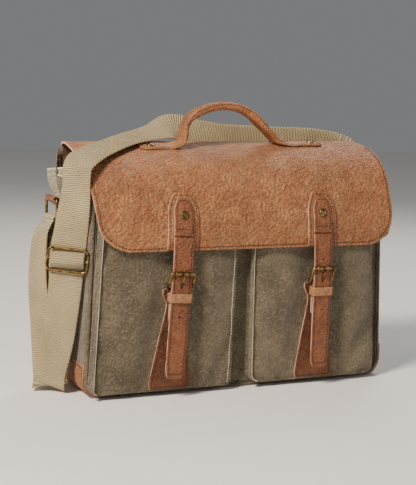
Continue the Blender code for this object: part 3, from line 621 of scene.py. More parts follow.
def rounded(corners: Sequence[tuple[float, float, float]], steps: int = 6) -> list[Vector]:
    """A closed outline through (x, y, radius) corners, each rounded by an arc."""
    outline = []
    for i, (x, y, radius) in enumerate(corners):
        here = Vector((x, y))
        back = (Vector(corners[i - 1][:2]) - here).normalized()
        ahead = (Vector(corners[(i + 1) % len(corners)][:2]) - here).normalized()
        half = back.angle(ahead) / 2
        centre = here + (back + ahead).normalized() * (radius / math.sin(half))
        first = here + back * (radius / math.tan(half)) - centre
        last = here + ahead * (radius / math.tan(half)) - centre
        turn = first.angle_signed(last)
        outline += [centre + Matrix.Rotation(-turn * k / steps, 2) @ first for k in range(steps + 1)]
    return outline


def smooth(points: Sequence[Sequence[float]], step: float) -> list[tuple[float, ...]]:
    """Points about a step apart on a Catmull-Rom curve; each may carry extra values."""
    path = []
    size = len(points[0])
    for i in range(len(points) - 1):
        p0, p1, p2 = points[max(i - 1, 0)], points[i], points[i + 1]
        p3 = points[min(i + 2, len(points) - 1)]
        count = max(1, round(math.dist(p1[:3], p2[:3]) / step))
        for k in range(count):
            t = k / count
            path.append(tuple(
                0.5 * (2 * p1[j] + (p2[j] - p0[j]) * t
                       + (2 * p0[j] - 5 * p1[j] + 4 * p2[j] - p3[j]) * t * t
                       + (3 * p1[j] - p0[j] - 3 * p2[j] + p3[j]) * t ** 3)
                for j in range(size)))
    path.append(tuple(points[-1]))
    return path


def ease(value: float, low: float = 0.0, high: float = 1.0) -> float:
    """A smooth step from 0 at low to 1 at high."""
    t = min(max((value - low) / (high - low), 0.0), 1.0)
    return t * t * (3 - 2 * t)


def ripple(at: Vector, size: float, seed: float = 0.0) -> float:
    """Soft noise from -1 to 1 with features of the given size."""
    return noise.noise(Vector(at) / size + Vector((seed, 2 * seed, -seed)))


# ---- stitches

def stitch_tree() -> bpy.types.GeometryNodeTree:
    """The node tree that sews a thread along every edge run of a mesh, built once.

    Returns:
        The tree, with inputs Pitch, Length, Radius and Thread.
    """
    tree = bpy.data.node_groups.get("saddle_stitch")
    if tree:
        return tree
    tree = bpy.data.node_groups.new("saddle_stitch", "GeometryNodeTree")
    face = tree.interface
    face.new_socket("Geometry", in_out="INPUT", socket_type="NodeSocketGeometry")
    for name in ("Pitch", "Length", "Radius"):
        face.new_socket(name, in_out="INPUT", socket_type="NodeSocketFloat")
    face.new_socket("Thread", in_out="INPUT", socket_type="NodeSocketMaterial")
    face.new_socket("Geometry", in_out="OUTPUT", socket_type="NodeSocketGeometry")
    given = tree.nodes.new("NodeGroupInput").outputs
    runs = add(tree, "GeometryNodeMeshToCurve", {"Mesh": given["Geometry"]}).outputs[0]
    spots = add(tree, "GeometryNodeCurveToPoints", {"Curve": runs, "Length": given["Pitch"]}, mode="LENGTH")
    ball = add(tree, "GeometryNodeMeshUVSphere", {"Segments": 6, "Rings": 5, "Radius": 1.0}).outputs["Mesh"]
    long = computed(tree, "MULTIPLY", given["Length"], 0.5)
    round_size = given["Radius"]
    size = add(tree, "ShaderNodeCombineXYZ", {"X": round_size, "Y": round_size, "Z": long}).outputs[0]
    stitch = add(tree, "GeometryNodeTransform", {"Geometry": ball, "Scale": size}).outputs[0]
    sewn = add(tree, "GeometryNodeInstanceOnPoints", {"Points": spots.outputs["Points"], "Instance": stitch,
                                                      "Rotation": spots.outputs["Rotation"]}).outputs[0]
    real = add(tree, "GeometryNodeRealizeInstances", {"Geometry": sewn}).outputs[0]
    dyed = add(tree, "GeometryNodeSetMaterial", {"Geometry": real, "Material": given["Thread"]}).outputs[0]
    ends = tree.nodes.new("NodeGroupOutput")
    tree.links.new(dyed, ends.inputs["Geometry"])
    return tree


@dataclass(frozen=True)
class Sewing:
    """A saddle stitch in one thread, for one piece of sewing on one body."""

    name: str
    body: str
    slot: str
    thread: Finish = DARK_THREAD
    pitch: float = 3.3
    length: float = 2.5
    radius: float = 0.66

    def sew(self, *rows: Iterable[Vector]) -> None:
        """Makes the stitches of every row as one mesh and dresses it.

        Args:
            *rows: The path of each row.
        """
        points, edges = [], []
        for row in rows:
            first = len(points)
            points += [p * MM for p in row]
            edges += [(i, i + 1) for i in range(first, len(points) - 1)]
        mesh = bpy.data.meshes.new(self.name)
        mesh.from_pydata(points, edges, [])
        made = bpy.data.objects.new(self.name, mesh)
        bpy.context.scene.collection.objects.link(made)
        stitched = made.modifiers.new("stitches", "NODES")
        stitched.node_group = stitch_tree()
        sockets = stitched.node_group.interface.items_tree
        given = {item.name: item.identifier for item in sockets if item.in_out == "INPUT"}
        for name, size in (("Pitch", self.pitch), ("Length", self.length), ("Radius", self.radius)):
            stitched[given[name]] = size * MM
        stitched[given["Thread"]] = self.thread.material()
        applied(made)
        made.data.shade_smooth()
        dress(made, self.body, self.slot)


def edge_runs(stations: Sequence[Station], inset: float, lift: float = 0.0,
              nose: bool = False) -> list[list[Vector]]:
    """Lines on a strap's outer face, an inset from both edges.

    Args:
        stations: The strap's cross-sections.
        inset: The distance from the edge.
        lift: The height above the face.
        nose: Whether the two lines meet round the first end.

    Returns:
        One line round the nose, or one for each edge.
    """
    first = 0
    while first < len(stations) - 1 and (stations[first].at - stations[0].at).length < inset:
        first += 1
    use = stations[first:] if nose else stations
    left = [s.spot(inset - s.half if s.half > inset else 0.0, lift) for s in use]
    right = [s.spot(s.half - inset if s.half > inset else 0.0, lift) for s in use]
    return [left[::-1] + right] if nose else [left, right]


def dress(piece: Piece, body: str | tuple[str, str], slot: str, *nodes: str,
          ends: tuple[Sequence[float], Sequence[float]] | None = None) -> Piece:
    """Rides a finished piece on its body, or bakes its transform in place where it would bend between two, and
    hides the frame's nodes that it replaces.

    Args:
        piece: The finished piece.
        body: The body that it moves with; where a bend is meant, the bodies before and after it, which are
            only logged.
        slot: A material slot's name; not used.
        *nodes: The frame's nodes that it replaces.
        ends: Where a bend would start and end; when given, the piece is baked in place instead of riding a
            body.

    Returns:
        The piece.
    """
    if ends is None:
        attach(piece, body)
    else:
        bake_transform(piece)
    if nodes:
        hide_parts(*nodes)
    LOG.info("%s on %s, %d faces", piece.name, body, len(piece.data.polygons))
    return piece


# ---- canvas body

@dataclass(frozen=True)
class Panel:
    """A panel's outline: left and right edges at the top and foot, rounded lower corners."""

    top: tuple[float, float]
    foot: tuple[float, float]
    z_top: float
    z_foot: float
    radius: float

    def side(self, share: float, right: bool, inset: float = 0.0) -> Vector:
        """A point down one side, from its top (0) to the middle of its lower corner (1).

        Args:
            share: The share of the way down.
            right: Whether this is the right side.
            inset: How far inside the outline the point lies.

        Returns:
            The point as (x, z).
        """
        sign = 1 if right else -1
        top, foot = (self.top[right] - sign * inset), (self.foot[right] - sign * inset)
        radius = max(self.radius - inset, 1.0)
        straight = 0.84
        z_corner = self.z_foot + inset + radius
        if share <= straight:
            t = share / straight
            return Vector((top + (foot - top) * t, self.z_top + (z_corner - self.z_top) * t))
        a = (share - straight) / (1 - straight) * math.pi / 4
        return Vector((foot - sign * radius * (1 - math.cos(a)), z_corner - radius * math.sin(a)))

    def base(self, share: float, inset: float = 0.0) -> Vector:
        """A point along the foot, from the middle of the left corner (0) to that of the right (1)."""
        bend = 0.05
        radius = max(self.radius - inset, 1.0)
        left, right = self.foot[0] + inset + radius, self.foot[1] - inset - radius
        z = self.z_foot + inset
        if share < bend or share > 1 - bend:
            near = share if share < bend else 1 - share
            a = math.pi / 4 + near / bend * math.pi / 4
            middle, sign = (left, -1) if share < bend else (right, 1)
            return Vector((middle + sign * radius * math.cos(a), z + radius * (1 - math.sin(a))))
        return Vector((left + (right - left) * (share - bend) / (1 - 2 * bend), z))

    def edge(self, t: float, inset: float = 0.0) -> Vector:
        """A point round the outline from the left top (0) by the foot to the right top (1)."""
        if t <= 1 / 3:
            return self.side(3 * t, False, inset)
        if t >= 2 / 3:
            return self.side(3 - 3 * t, True, inset)
        return self.base(3 * t - 1, inset)

    def inside(self, u: float, w: float, inset: float = 0.0) -> Vector:
        """The point at share u across and w up the panel, blended from its four edges."""
        left, right = self.side(1 - w, False, inset), self.side(1 - w, True, inset)
        high = self.side(0.0, False, inset).lerp(self.side(0.0, True, inset), u)
        flat = self.base(0, inset).lerp(self.base(1, inset), u).lerp(high, w)
        return left.lerp(right, u) + self.base(u, inset).lerp(high, w) - flat


@dataclass
class Shell:
    """An open-topped bag: a front, a back and a band between them, lofted as one sagging surface."""

    name: str
    panel: Panel
    finish: Finish
    front: float
    back: float
    rise: Callable[[float], float]          # height of the top edge at each depth, as a share
    swell: float = 2.5
    flare: float = 0.0
    wall: float = 1.8
    edge_radius: float = 6.0
    cells: tuple[int, int] = (48, 36)

    def depths(self) -> list[tuple[float, float]]:
        """Depths from front to back, each with the band's inset where the edges are rounded."""
        r = self.edge_radius
        near = [(self.front + r - r * math.cos(a), r - r * math.sin(a))
                for a in (0.0, math.pi / 8, math.pi / 4, 3 * math.pi / 8, math.pi / 2)]
        far = [(self.back + self.front - y, inset) for y, inset in reversed(near)]
        count = 12
        middle = [(near[-1][0] + (far[0][0] - near[-1][0]) * k / count, 0.0) for k in range(1, count)]
        return near + middle + far

    def place(self, flat: Vector, y: float, out: Vector) -> Vector:
        """The sagged place of a point of the shell.

        Args:
            flat: Its (x, z) on the unsagged shell.
            y: Its depth.
            out: The direction that the wall faces.

        Returns:
            Its place.
        """
        share = flat.y / self.panel.z_top
        at = Vector((flat.x, y, flat.y * (1 + (self.rise(y) - 1) * ease(share, 0.4, 1.0))))
        full = math.sin(math.pi * min(share, 1.0)) ** 0.8
        if abs(out.x) > 0.5:
            across = math.cos(math.pi * (y - (self.front + self.back) / 2) / (self.back - self.front))
            push = self.swell * full * across + 1.3 * ripple((y * 1.6, at.z * 0.5, flat.x), 26.0, 3.0)
            push *= ease(y, self.front + 14.0, self.front + 52.0)
            push += self.flare * ease(at.z, 205, 250) * ease(y, 0, 48)
            return at + Vector((math.copysign(push * ease(share, 0.0, 0.12), out.x), 0, 0))
        if abs(out.y) > 0.5:
            across = math.cos(math.pi * flat.x / (self.panel.foot[1] - self.panel.foot[0]))
            push = self.swell * 0.5 * full * across + 0.7 * ripple(at, 48.0) * full
            return at + Vector((0, math.copysign(push, out.y), 0))
        return at

    def build(self) -> Piece:
        """Lofts the shell and gives it its wall.

        Returns:
            The shell, closed over its rim.
        """
        wide, tall = self.cells
        border = [(0, k) for k in range(tall, 0, -1)] + [(i, 0) for i in range(wide + 1)]
        border += [(wide, k) for k in range(1, tall + 1)]
        rows = self.depths()
        last = len(rows) - 1
        spots: dict[tuple[int, int, int], Vector] = {}
        for j, (y, inset) in enumerate(rows):
            for i, k in border:
                if k:
                    flat, out = self.panel.side(1 - k / tall, i > 0, inset), X if i else -X
                else:
                    flat, out = self.panel.base(i / wide, inset), -Z
                if j in (0, last):
                    out = -Y if j == 0 else Y
                spots[i, j, k] = self.place(flat, y, out)
        for j, out in ((0, -Y), (last, Y)):
            for i in range(1, wide):
                for k in range(1, tall + 1):
                    flat = self.panel.inside(i / wide, k / tall, rows[j][1])
                    spots[i, j, k] = self.place(flat, rows[j][0], out)
        number = {key: n for n, key in enumerate(spots)}
        faces = []
        for j in range(last):
            for (i0, k0), (i1, k1) in zip(border, border[1:]):
                ring = (i0, j, k0), (i1, j, k1), (i1, j + 1, k1), (i0, j + 1, k0)
                faces.append([number[key] for key in ring])
        for j in (0, last):
            for i in range(wide):
                for k in range(tall):
                    ring = (i, j, k), (i + 1, j, k), (i + 1, j, k + 1), (i, j, k + 1)
                    faces.append([number[key] for key in (ring if j == 0 else ring[::-1])])
        return applied(walled(new_object(self.name, list(spots.values()), faces, [self.finish]), self.wall))


@dataclass
class CanvasBody:
    """The canvas body, its lining, base board, corner patches and ring tabs."""

    panel: Panel = Panel((-190.0, 190.0), (-197.0, 197.0), 240.0, 0.0, 22.0)
    front: float = -55.0
    back: float = 55.0
    patch_half: float = 53.2
    patch_thick: float = 1.5

    def build(self) -> None:
        """Makes and dresses every piece of the body."""
        self.shell = Shell("canvas_body", self.panel, CANVAS, self.front, self.back, self.rise, flare=11.0)
        dress(self.shell.build(), "root", "canvas", "front_panel", "back_panel", "gusset_band")
        lined = Panel((-185.0, 185.0), (-192.0, 192.0), 236.0, 5.2, 18.0)
        lining = Shell("cotton_lining", lined, LINING, self.front + 3.2, self.back - 3.2,
                       lambda y: self.rise(y) * 0.985, swell=1.2, wall=0.8, cells=(40, 28))
        dress(lining.build(), "root", "lining", "lining")
        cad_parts["base_board"].data.materials.clear()
        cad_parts["base_board"].data.materials.append(BOARD.material())
        for side in Side:
            self.patch(side)
            self.ring_tab(side)
            self.ear(side)
        self.hems()

    def rise(self, y: float) -> float:
        """The top edge's height at a depth, as a share of the panel's height."""
        front, gusset, back = 234.0, 249.0, 282.0
        height = front + (gusset - front) * ease(y, self.front, self.back - 6.0)
        return (height + (back - gusset) * ease(y, self.back - 6.0, self.back)) / self.panel.z_top

    def wall(self, side: Side, z: float, y: float) -> Vector:
        """The gusset's outer face at a height and depth."""
        t = (self.panel.z_top - z) / (self.panel.z_top - self.panel.z_foot - self.panel.radius) * 0.84
        flat = self.panel.side(min(max(t, 0.0), 1.0), side is Side.RIGHT)
        return self.shell.place(flat, y, X * side.sign)

    def patch(self, side: Side) -> None:
        """The leather patch that wraps a lower corner, with its stitched top edge."""
        right, way = side is Side.RIGHT, -side.sign
        down, under, step, proud, lowest = 18, 9, 0.004, 1.7, 0.45
        stations = []
        for k in range(down + under):
            if k < down:
                share = 0.775 + 0.225 * k / (down - 1)
                flat = self.panel.side(share, right)
                along = self.panel.side(min(share + step, 1.0), right) - self.panel.side(share - step, right)
            else:
                share = 0.05 * (k - down + 1) / (under - 1)
                t = 1 - share if right else share
                flat = self.panel.base(t)
                along = self.panel.base(t + step * way) - self.panel.base(max(min(t - step * way, 1.0), 0.0))
            normal = Vector((along.y, 0, -along.x)).normalized() * way
            at = Vector((flat.x, 0.0, flat.y)) + normal * proud
            at.z = max(at.z, lowest)
            stations.append(Station(at, Y, normal, self.patch_half, self.patch_thick))
        piece = strap(f"corner_patch_{side}", stations, LEATHER, columns=14)
        for vertex in piece.data.vertices:
            at = vertex.co / MM
            if at.z > 8.0:
                vertex.co.x += self.bulge(side, at) * MM
        dress(piece, "root", "leather", f"side_patch_{side}")
        top = [p + X * self.bulge(side, p) for p in (stations[1].spot(u) for u in range(-49, 50, 7))]
        ends = [[s.spot(u) for s in stations[1:]] for u in (-50.0, 50.0)]
        Sewing(f"corner_patch_stitches_{side}", "root", "leather").sew(top, *ends)

    def bulge(self, side: Side, at: Vector) -> float:
        """How far the swollen gusset stands out of its front edge's line at a place."""
        return self.wall(side, at.z, at.y).x - self.wall(side, at.z, self.front).x

    def ring_tab(self, side: Side) -> None:
        """The folded tab that holds a side ring, sewn in a box."""
        sign, thick, drop = side.sign, 1.6, 46.0
        fold = RING_WIRE + 0.4 + thick / 2
        near = abs(self.wall(side, RING_TOP - 36.0, RING_Y).x) + 0.2
        under, over = near + thick / 2, near + thick * 1.5 + 0.3
        path = [(over, RING_TOP - drop), (over, RING_TOP - 30.0), (over + 3.0, RING_TOP - 14.0),
                (RING_X - 4.4, RING_TOP + 0.6)]
        path += [(RING_X + fold * math.cos(a), RING_TOP + fold * math.sin(a))
                 for a in map(math.radians, range(120, -75, -15))]
        path += [(under + 3.5, RING_TOP - 17.5), (under, RING_TOP - 26.0),
                 (under, RING_TOP - drop)]
        stations = []
        for (x, z), along in zip(path, directions(path)):
            out = Vector((-sign * along.y, 0, along.x))
            stations.append(Station(Vector((sign * x, RING_Y, z)), Y, out, 16.3, thick))
        piece = strap(f"ring_tab_leather_{side}", stations, STRAP_LEATHER, columns=8)
        dress(piece, "root", "leather", f"ring_tab_{side}")
        face = sign * (over + thick / 2 + 0.1)
        low, high = RING_TOP - drop + 3.0, RING_TOP - 24.0
        box = [(-13.0, low), (13.0, low), (13.0, high), (-13.0, high), (-13.0, low)]
        Sewing(f"ring_tab_stitches_{side}", "root", "leather").sew(
            Vector((face, RING_Y + u, z)) for u, z in box)

    def ear(self, side: Side) -> None:
        """The gusset's top back corner, which stands out past the flap."""
        stations = []
        for z in range(203, 258, 3):
            reach = 15.5 * ease(z, 203.0, 250.0)
            free = Vector((side.sign * (194.5 + reach), 55.0 + 0.35 * reach, z - 0.10 * reach))
            held = Vector((side.sign * 194.0, 47.0, z + 1.0))
            across = (held - free).normalized()
            out = Vector((side.sign * abs(across.y), -abs(across.x), 0.0)).normalized()
            stations.append(Station((free + held) / 2, across, out, (held - free).length / 2, 1.7))
        # Painted light: the ear is drawn in a paler copy of the canvas, standing in for the light that it
        # catches.
        piece = strap(f"gusset_ear_{side}", stations, PAINTED_LIT_CANVAS, CANVAS_EDGE, columns=6)
        dress(piece, "root", "canvas")
        top = stations[-1]
        rim = [top.at + top.across * u * top.half for u in (-1.0, -0.5, 0.0, 0.5, 1.0)]
        dress(tube(f"gusset_ear_hem_{side}", rim, 1.4, CANVAS_EDGE, Z, sides=8), "root", "canvas")
        Sewing(f"gusset_ear_stitches_{side}", "root", "canvas", CREAM_THREAD).sew(
            stations[-3].spot(u * top.half * 0.9) for u in (-1.0, 0.0, 1.0))

    def hems(self) -> None:
        """The pale folded hem along the top of each gusset."""
        for side in Side:
            depths = [self.front + 3.0 + (self.back - self.front - 9.0) * k / 24 for k in range(25)]
            rim = [self.wall(side, self.panel.z_top, y) + Vector((-0.9 * side.sign, 0, 0.2)) for y in depths]
            dress(tube(f"gusset_hem_{side}", rim, 1.5, CANVAS_EDGE, Z, sides=8), "root", "canvas")
            Sewing(f"gusset_hem_stitches_{side}", "root", "canvas", CREAM_THREAD).sew(
                self.wall(side, self.panel.z_top - 8.0, y) + X * 0.3 * side.sign for y in range(-50, 48, 4))


@dataclass
class Pocket:
    """A bellows pocket: a canvas face blown full by a cloth simulation, pleated walls, raw-edged seams."""

    side: Side
    panel: Panel
    anchor_x: float
    lean: float
    front: float = -67.6
    proud: float = 11.8
    wall: float = 1.4
    swell_cap: float = 4.6          # how far the blown face may stand out
    side_cap: float = 1.2           # and how far it may move sideways
    fullest: float = 7.0
    anchor_top: float = 126.0
    anchor_half: float = 15.0
    hinge_z: float = 187.0
    cells: tuple[int, int] = (36, 40)

    def build(self) -> None:
        """Makes and dresses the face, its walls, seams and stitches."""
        name = self.side.value
        self.cloth = dress(self.face(), "root", "canvas", f"pocket_{name}_face")
        dress(self.bellows(), "root", "canvas", f"pocket_{name}_gusset")
        # The ridge's near-white raw edge is partly painted highlight, as the ridge faces the light from the
        # left.
        dress(self.seam(f"pocket_{name}_ridge", 0.0, 0.345, 2.5, CANVAS_EDGE), "root", "canvas")
        dress(self.seam(f"pocket_{name}_border", 0.35, 1.0, 0.45, CANVAS), "root", "canvas")
        self.stitches()
        self.hem()

    def face(self) -> Piece:
        """The pocket's face: pinned along its seams, blown out, its travel capped."""
        wide, tall = self.cells
        flats = [self.panel.inside(i / wide, k / tall) for k in range(tall + 1) for i in range(wide + 1)]
        points = [Vector((p.x, self.front, p.y)) for p in flats]
        faces = [(a, d, c, b) for a, b, c, d in grid(tall, wide)]
        made = new_object(f"pocket_{self.side}_canvas", points, faces, [CANVAS])
        self.blow(made, wide, tall)
        seed = 5.0 + self.side.sign
        for n, (flat, vertex) in enumerate(zip(flats, made.data.vertices)):
            k, i = divmod(n, wide + 1)
            rest = Vector((flat.x, self.front, flat.y))
            move = vertex.co / MM - rest
            middle = self.anchor_x + (self.hinge_z - flat.y) * math.tan(self.lean)
            reach = self.anchor_half * (1 + max(1 - flat.y / self.anchor_top, 0.0))
            calm = 0.14 + 0.86 * ease(abs(flat.x - middle), reach, reach + 26.0)
            full = math.sin(math.pi * i / wide) ** 0.6 * math.sin(math.pi * min(k / tall, 0.96)) ** 0.6
            fold = ripple((flat.x, 0.0, flat.y * 0.6), 38.0, seed)
            fold += 0.45 * ripple((flat.x, flat.y, 0.0), 15.0, seed)
            out = min(max(-move.y, -1.0), self.swell_cap)
            out = min(out + full * (2.2 + 3.4 * fold), self.fullest - 2.6 * ease(flat.y, 135, 172))
            shift = Vector((move.x, 0, move.z))
            if shift.length > self.side_cap:
                shift *= self.side_cap / shift.length
            vertex.co = (rest + shift - Y * out * calm) * MM
        finer = made.modifiers.new("finer", "SUBSURF")
        finer.levels = finer.render_levels = 1
        return applied(walled(made, self.wall))

    def blow(self, made: Piece, wide: int, tall: int) -> None:
        """Runs a short cloth simulation with pressure on a face pinned along its border.

        Args:
            made: The face.
            wide: Its cells across.
            tall: Its cells up.
        """
        pins = made.vertex_groups.new(name="pins")
        for k in range(tall + 1):
            for i in range(wide + 1):
                if i in (0, wide) or k in (0, tall):
                    pins.add([k * (wide + 1) + i], 1.0, "REPLACE")
        cloth = made.modifiers.new("cloth", "CLOTH")
        cloth.settings.vertex_group_mass = "pins"
        cloth.settings.use_pressure = True
        cloth.settings.uniform_pressure_force = 2.5
        cloth.settings.shrink_min = -0.018
        cloth.settings.tension_stiffness = 30.0
        cloth.settings.compression_stiffness = 30.0
        cloth.settings.bending_stiffness = 4.0
        cloth.settings.effector_weights.gravity = 0.0
        cloth.settings.quality = 6
        scene = bpy.context.scene
        for step in range(1, 21):
            scene.frame_set(step)
        applied(made)
        scene.frame_set(1)
        made.vertex_groups.clear()

    def bellows(self) -> Piece:
        """The pleated wall between the face and the body."""
        steps, columns = 96, 8
        points = []
        for n in range(steps + 1):
            t = n / steps
            for k in range(columns + 1):
                v = k / columns
                inset = 0.6 + 4.6 * math.sin(math.pi * v) ** 1.4
                flat = self.panel.edge(t, inset)
                y = self.front + self.wall * 0.6 + (self.proud - self.wall * 0.6) * v
                points.append(Vector((flat.x, y, flat.y)))
        made = new_object(f"pocket_{self.side}_bellows", points, grid(steps, columns), [CANVAS])
        return applied(walled(made, 1.2))

    def seam(self, name: str, start: float, stop: float, half: float, edge: Finish) -> Piece:
        """A pinched seam along part of the face's border.

        Args:
            name: The piece's name.
            start: Its start along the border.
            stop: Its end.
            half: Half the height that it stands proud.
            edge: The finish of its raw edge.

        Returns:
            The seam.
        """
        stations = []
        steps = 90
        for n in range(steps + 1):
            t = start + (stop - start) * n / steps
            flat = self.panel.edge(t, 0.7)
            along = self.panel.edge(min(t + 0.004, 1.0), 0.7) - self.panel.edge(max(t - 0.004, 0.0), 0.7)
            along.normalize()
            lean = Vector((along.y, 0, -along.x)) * 0.35
            rise = (-Y - lean).normalized()
            proud = half + 0.25 * ripple(Vector((0, 0, n)), 9.0)
            at = Vector((flat.x, self.front + 0.5, flat.y)) + rise * proud
            stations.append(Station(at, rise, rise.cross(Vector((along.x, 0, along.y))), half, 1.3))
        return strap(name, stations, CANVAS, edge, columns=3, corner=0.45)

    def stitches(self) -> None:
        """Dark saddle stitches beside the raised seam and paler ones down the other side."""
        skin = BVHTree.FromPolygons([v.co / MM for v in self.cloth.data.vertices],
                                    [p.vertices[:] for p in self.cloth.data.polygons])

        def line(start: float, stop: float, inset: float, count: int = 60) -> list[Vector]:
            flats = [self.panel.edge(start + (stop - start) * k / count, inset) for k in range(count + 1)]
            hits = [skin.ray_cast(Vector((p.x, -200.0, p.y)), Y)[0] for p in flats]
            return [hit - Y * 0.2 for hit in hits if hit]

        name = self.side.value
        Sewing(f"pocket_{name}_dark_stitches", "root", "canvas", radius=0.75).sew(line(0.02, 0.325, 3.0))
        thread, rows = CREAM_THREAD, [line(0.67, 0.985, 4.2)]
        if self.side is Side.RIGHT:
            thread, rows = OLIVE_THREAD, rows + [line(0.34, 0.66, 4.2)]
        Sewing(f"pocket_{name}_pale_stitches", "root", "canvas", thread, 3.2, 2.2, 0.6).sew(*rows)

    def hem(self) -> None:
        """The folded hem across the pocket's mouth."""
        z, deep = self.panel.z_top - 6.5, 13.0
        x0, x1 = self.panel.top
        stations = []
        for k in range(31):
            y = self.front + 0.1 - 1.2 * math.sin(math.pi * k / 30)
            at = Vector((x0 + 3 + (x1 - x0 - 6) * k / 30, y, z))
            stations.append(Station(at, Z, -Y, deep / 2, 1.0))
        dress(strap(f"pocket_{self.side}_hem", stations, CANVAS, None, columns=4), "root", "canvas")
        Sewing(f"pocket_{self.side}_hem_stitches", "root", "canvas", OLIVE_THREAD).sew(
            s.spot(2.0 - deep / 2) for s in stations)


# ---- flap

@dataclass
class Flap:
    """The leather flap with the yoke that sews it to the back, cut as one hide."""

    profile: tuple[tuple[float, float], ...] = (
        (57.3, 285.2), (52.0, 290.5), (38.0, 292.0), (15.0, 288.5), (-10.0, 282.5),
        (-36.0, 270.5), (-56.0, 250.0), (-68.0, 224.0), (-75.5, 196.0), (-77.0, 171.0))
    half: float = 195.0
    taper: float = 10.0
    corner: float = 36.0
    thick: float = 2.6
    tilt: float = 6.0
    yoke_foot: float = 222.0
    wave: float = 1.9
    calm: tuple[float, ...] = (-89.0, 93.5)      # the hide lies flat under the closures

    def __post_init__(self) -> None:
        """Measures the profile once."""
        dense = smooth([(y, z, 0.0) for y, z in self.profile], 3.0)
        self.line: list[tuple[float, float, float]] = []
        total = 0.0
        for i, (y, z, _) in enumerate(dense):
            if i:
                total += math.dist(dense[i - 1][:2], (y, z))
            self.line.append((total, y, z))
        self.length = total

    def bare(self, x: float, s: float) -> Vector:
        """The outer face at x, a distance s from the back edge, before the hide's waves."""
        if s < 0:
            return Vector((x, self.profile[0][0], self.profile[0][1] + s))
        s = min(s, self.length)
        for (s0, y0, z0), (s1, y1, z1) in zip(self.line, self.line[1:]):
            if s <= s1:
                break
        t = (s - s0) / (s1 - s0)
        tilt = self.tilt * (x / self.half) * math.sin(math.pi * min(s / self.length, 1.0)) ** 0.8
        return Vector((x, y0 + (y1 - y0) * t, z0 + (z1 - z0) * t + tilt))

    def normal(self, x: float, s: float) -> Vector:
        """The outward direction of the face."""
        along = self.bare(x, min(s + 3.0, self.length)) - self.bare(x, s - 3.0)
        return along.cross(X).normalized()

    def place(self, x: float, s: float, lift: float = 0.0) -> Vector:
        """A place on or above the waved face."""
        wave = ripple((x, s, 0.0), 62.0, 9.0) + 0.4 * ripple((x, s, 0.0), 24.0)
        wave *= self.wave * ease(s, 12, 60)
        wave *= 1 - 0.5 * ease(s, self.length - 50, self.length - 10)
        wave *= 0.25 + 0.75 * min(ease(abs(x - c), 18.0, 42.0) for c in self.calm) if s > 90 else 1.0
        return self.bare(x, s) + self.normal(x, s) * (lift + wave)

    def reach(self, z: float, x: float) -> float:
        """The distance along the flap at which its front hangs at height z."""
        low, high = self.length * 0.4, self.length
        for _ in range(30):
            middle = (low + high) / 2
            if self.bare(x, middle).z > z:
                low = middle
            else:
                high = middle
        return low

    def edges(self, s: float) -> tuple[float, float]:
        """The left and right edges at a distance from the back edge."""
        if s < 0:
            return -self.half + 2, self.half - 2
        draw = self.taper * max(0.0, (s - 0.55 * self.length) / (0.45 * self.length))
        below = self.length - s
        inset = 0.0
        if below < self.corner:
            inset = self.corner - math.sqrt(max(self.corner ** 2 - (self.corner - below) ** 2, 0.0))
        return -self.half + draw + inset, self.half - inset

    def rows(self) -> list[float]:
        """Distances of the cross rows, closer together round the front corners."""
        yoke = [self.yoke_foot - self.profile[0][1] + 3.4 * k for k in range(19)]
        crown = [1.5 + (self.length - self.corner) * k / 84 for k in range(84)]
        front = [self.length - self.corner * (1 - math.sin(math.pi / 2 * k / 22)) for k in range(23)]
        return [s for s in yoke if s < 0] + crown + front

    def build(self) -> None:
        """Makes the hide and its edge stitches."""
        columns = 72
        points = []
        rows = self.rows()
        for s in rows:
            left, right = self.edges(s)
            points += [self.place(left + (right - left) * k / columns, s) for k in range(columns + 1)]
        made = new_object("flap_leather", points, grid(len(rows) - 1, columns),
                          [LEATHER, FLESH_SIDE, LEATHER_EDGE])
        # The rim's pale cut-edge finish is partly painted highlight along the lit edge.
        walled(made, self.thick, material_offset=1, material_offset_rim=2)
        soft = made.modifiers.new("edge", "BEVEL")
        soft.width = 0.5 * MM
        soft.segments = 2
        soft.limit_method = "ANGLE"
        soft.angle_limit = math.radians(55)
        applied(made)
        dress(made, ("root", "flap"), "leather", "flap", "flap_yoke", ends=((0, 55.2, 0), (0, 42.0, 0)))
        self.stitches()

    def stitches(self) -> None:
        """A row of dark stitches just inside the flap's edge, and two rows along the yoke."""
        inset, lift = 3.6, 0.05
        start = 70.0
        count = 110
        left, right = [], []
        for k in range(count + 1):
            s = start + (self.length - inset - start) * math.sin(math.pi / 2 * k / count)
            near, far = self.edges(min(s + inset * ease(s, self.length - 36, self.length), self.length - 0.4))
            left.append((near + inset * 0.9, s))
            right.append((far - inset * 0.9, s))
        x0, x1 = left[-1][0], right[-1][0]
        foot = [(x0 + (x1 - x0) * k / 120, self.length - inset) for k in range(1, 120)]
        Sewing("flap_edge_stitches", "flap", "leather").sew(
            self.place(x, s, lift) for x, s in left + foot + right[::-1])
        low = self.yoke_foot - self.profile[0][1]
        rows = [[self.place(x, s, lift) for x in range(-188, 189, 8)] for s in (low + 4.0, low + 9.0, -14.0)]
        Sewing("yoke_stitches", "root", "leather").sew(*rows)


# ---- closures

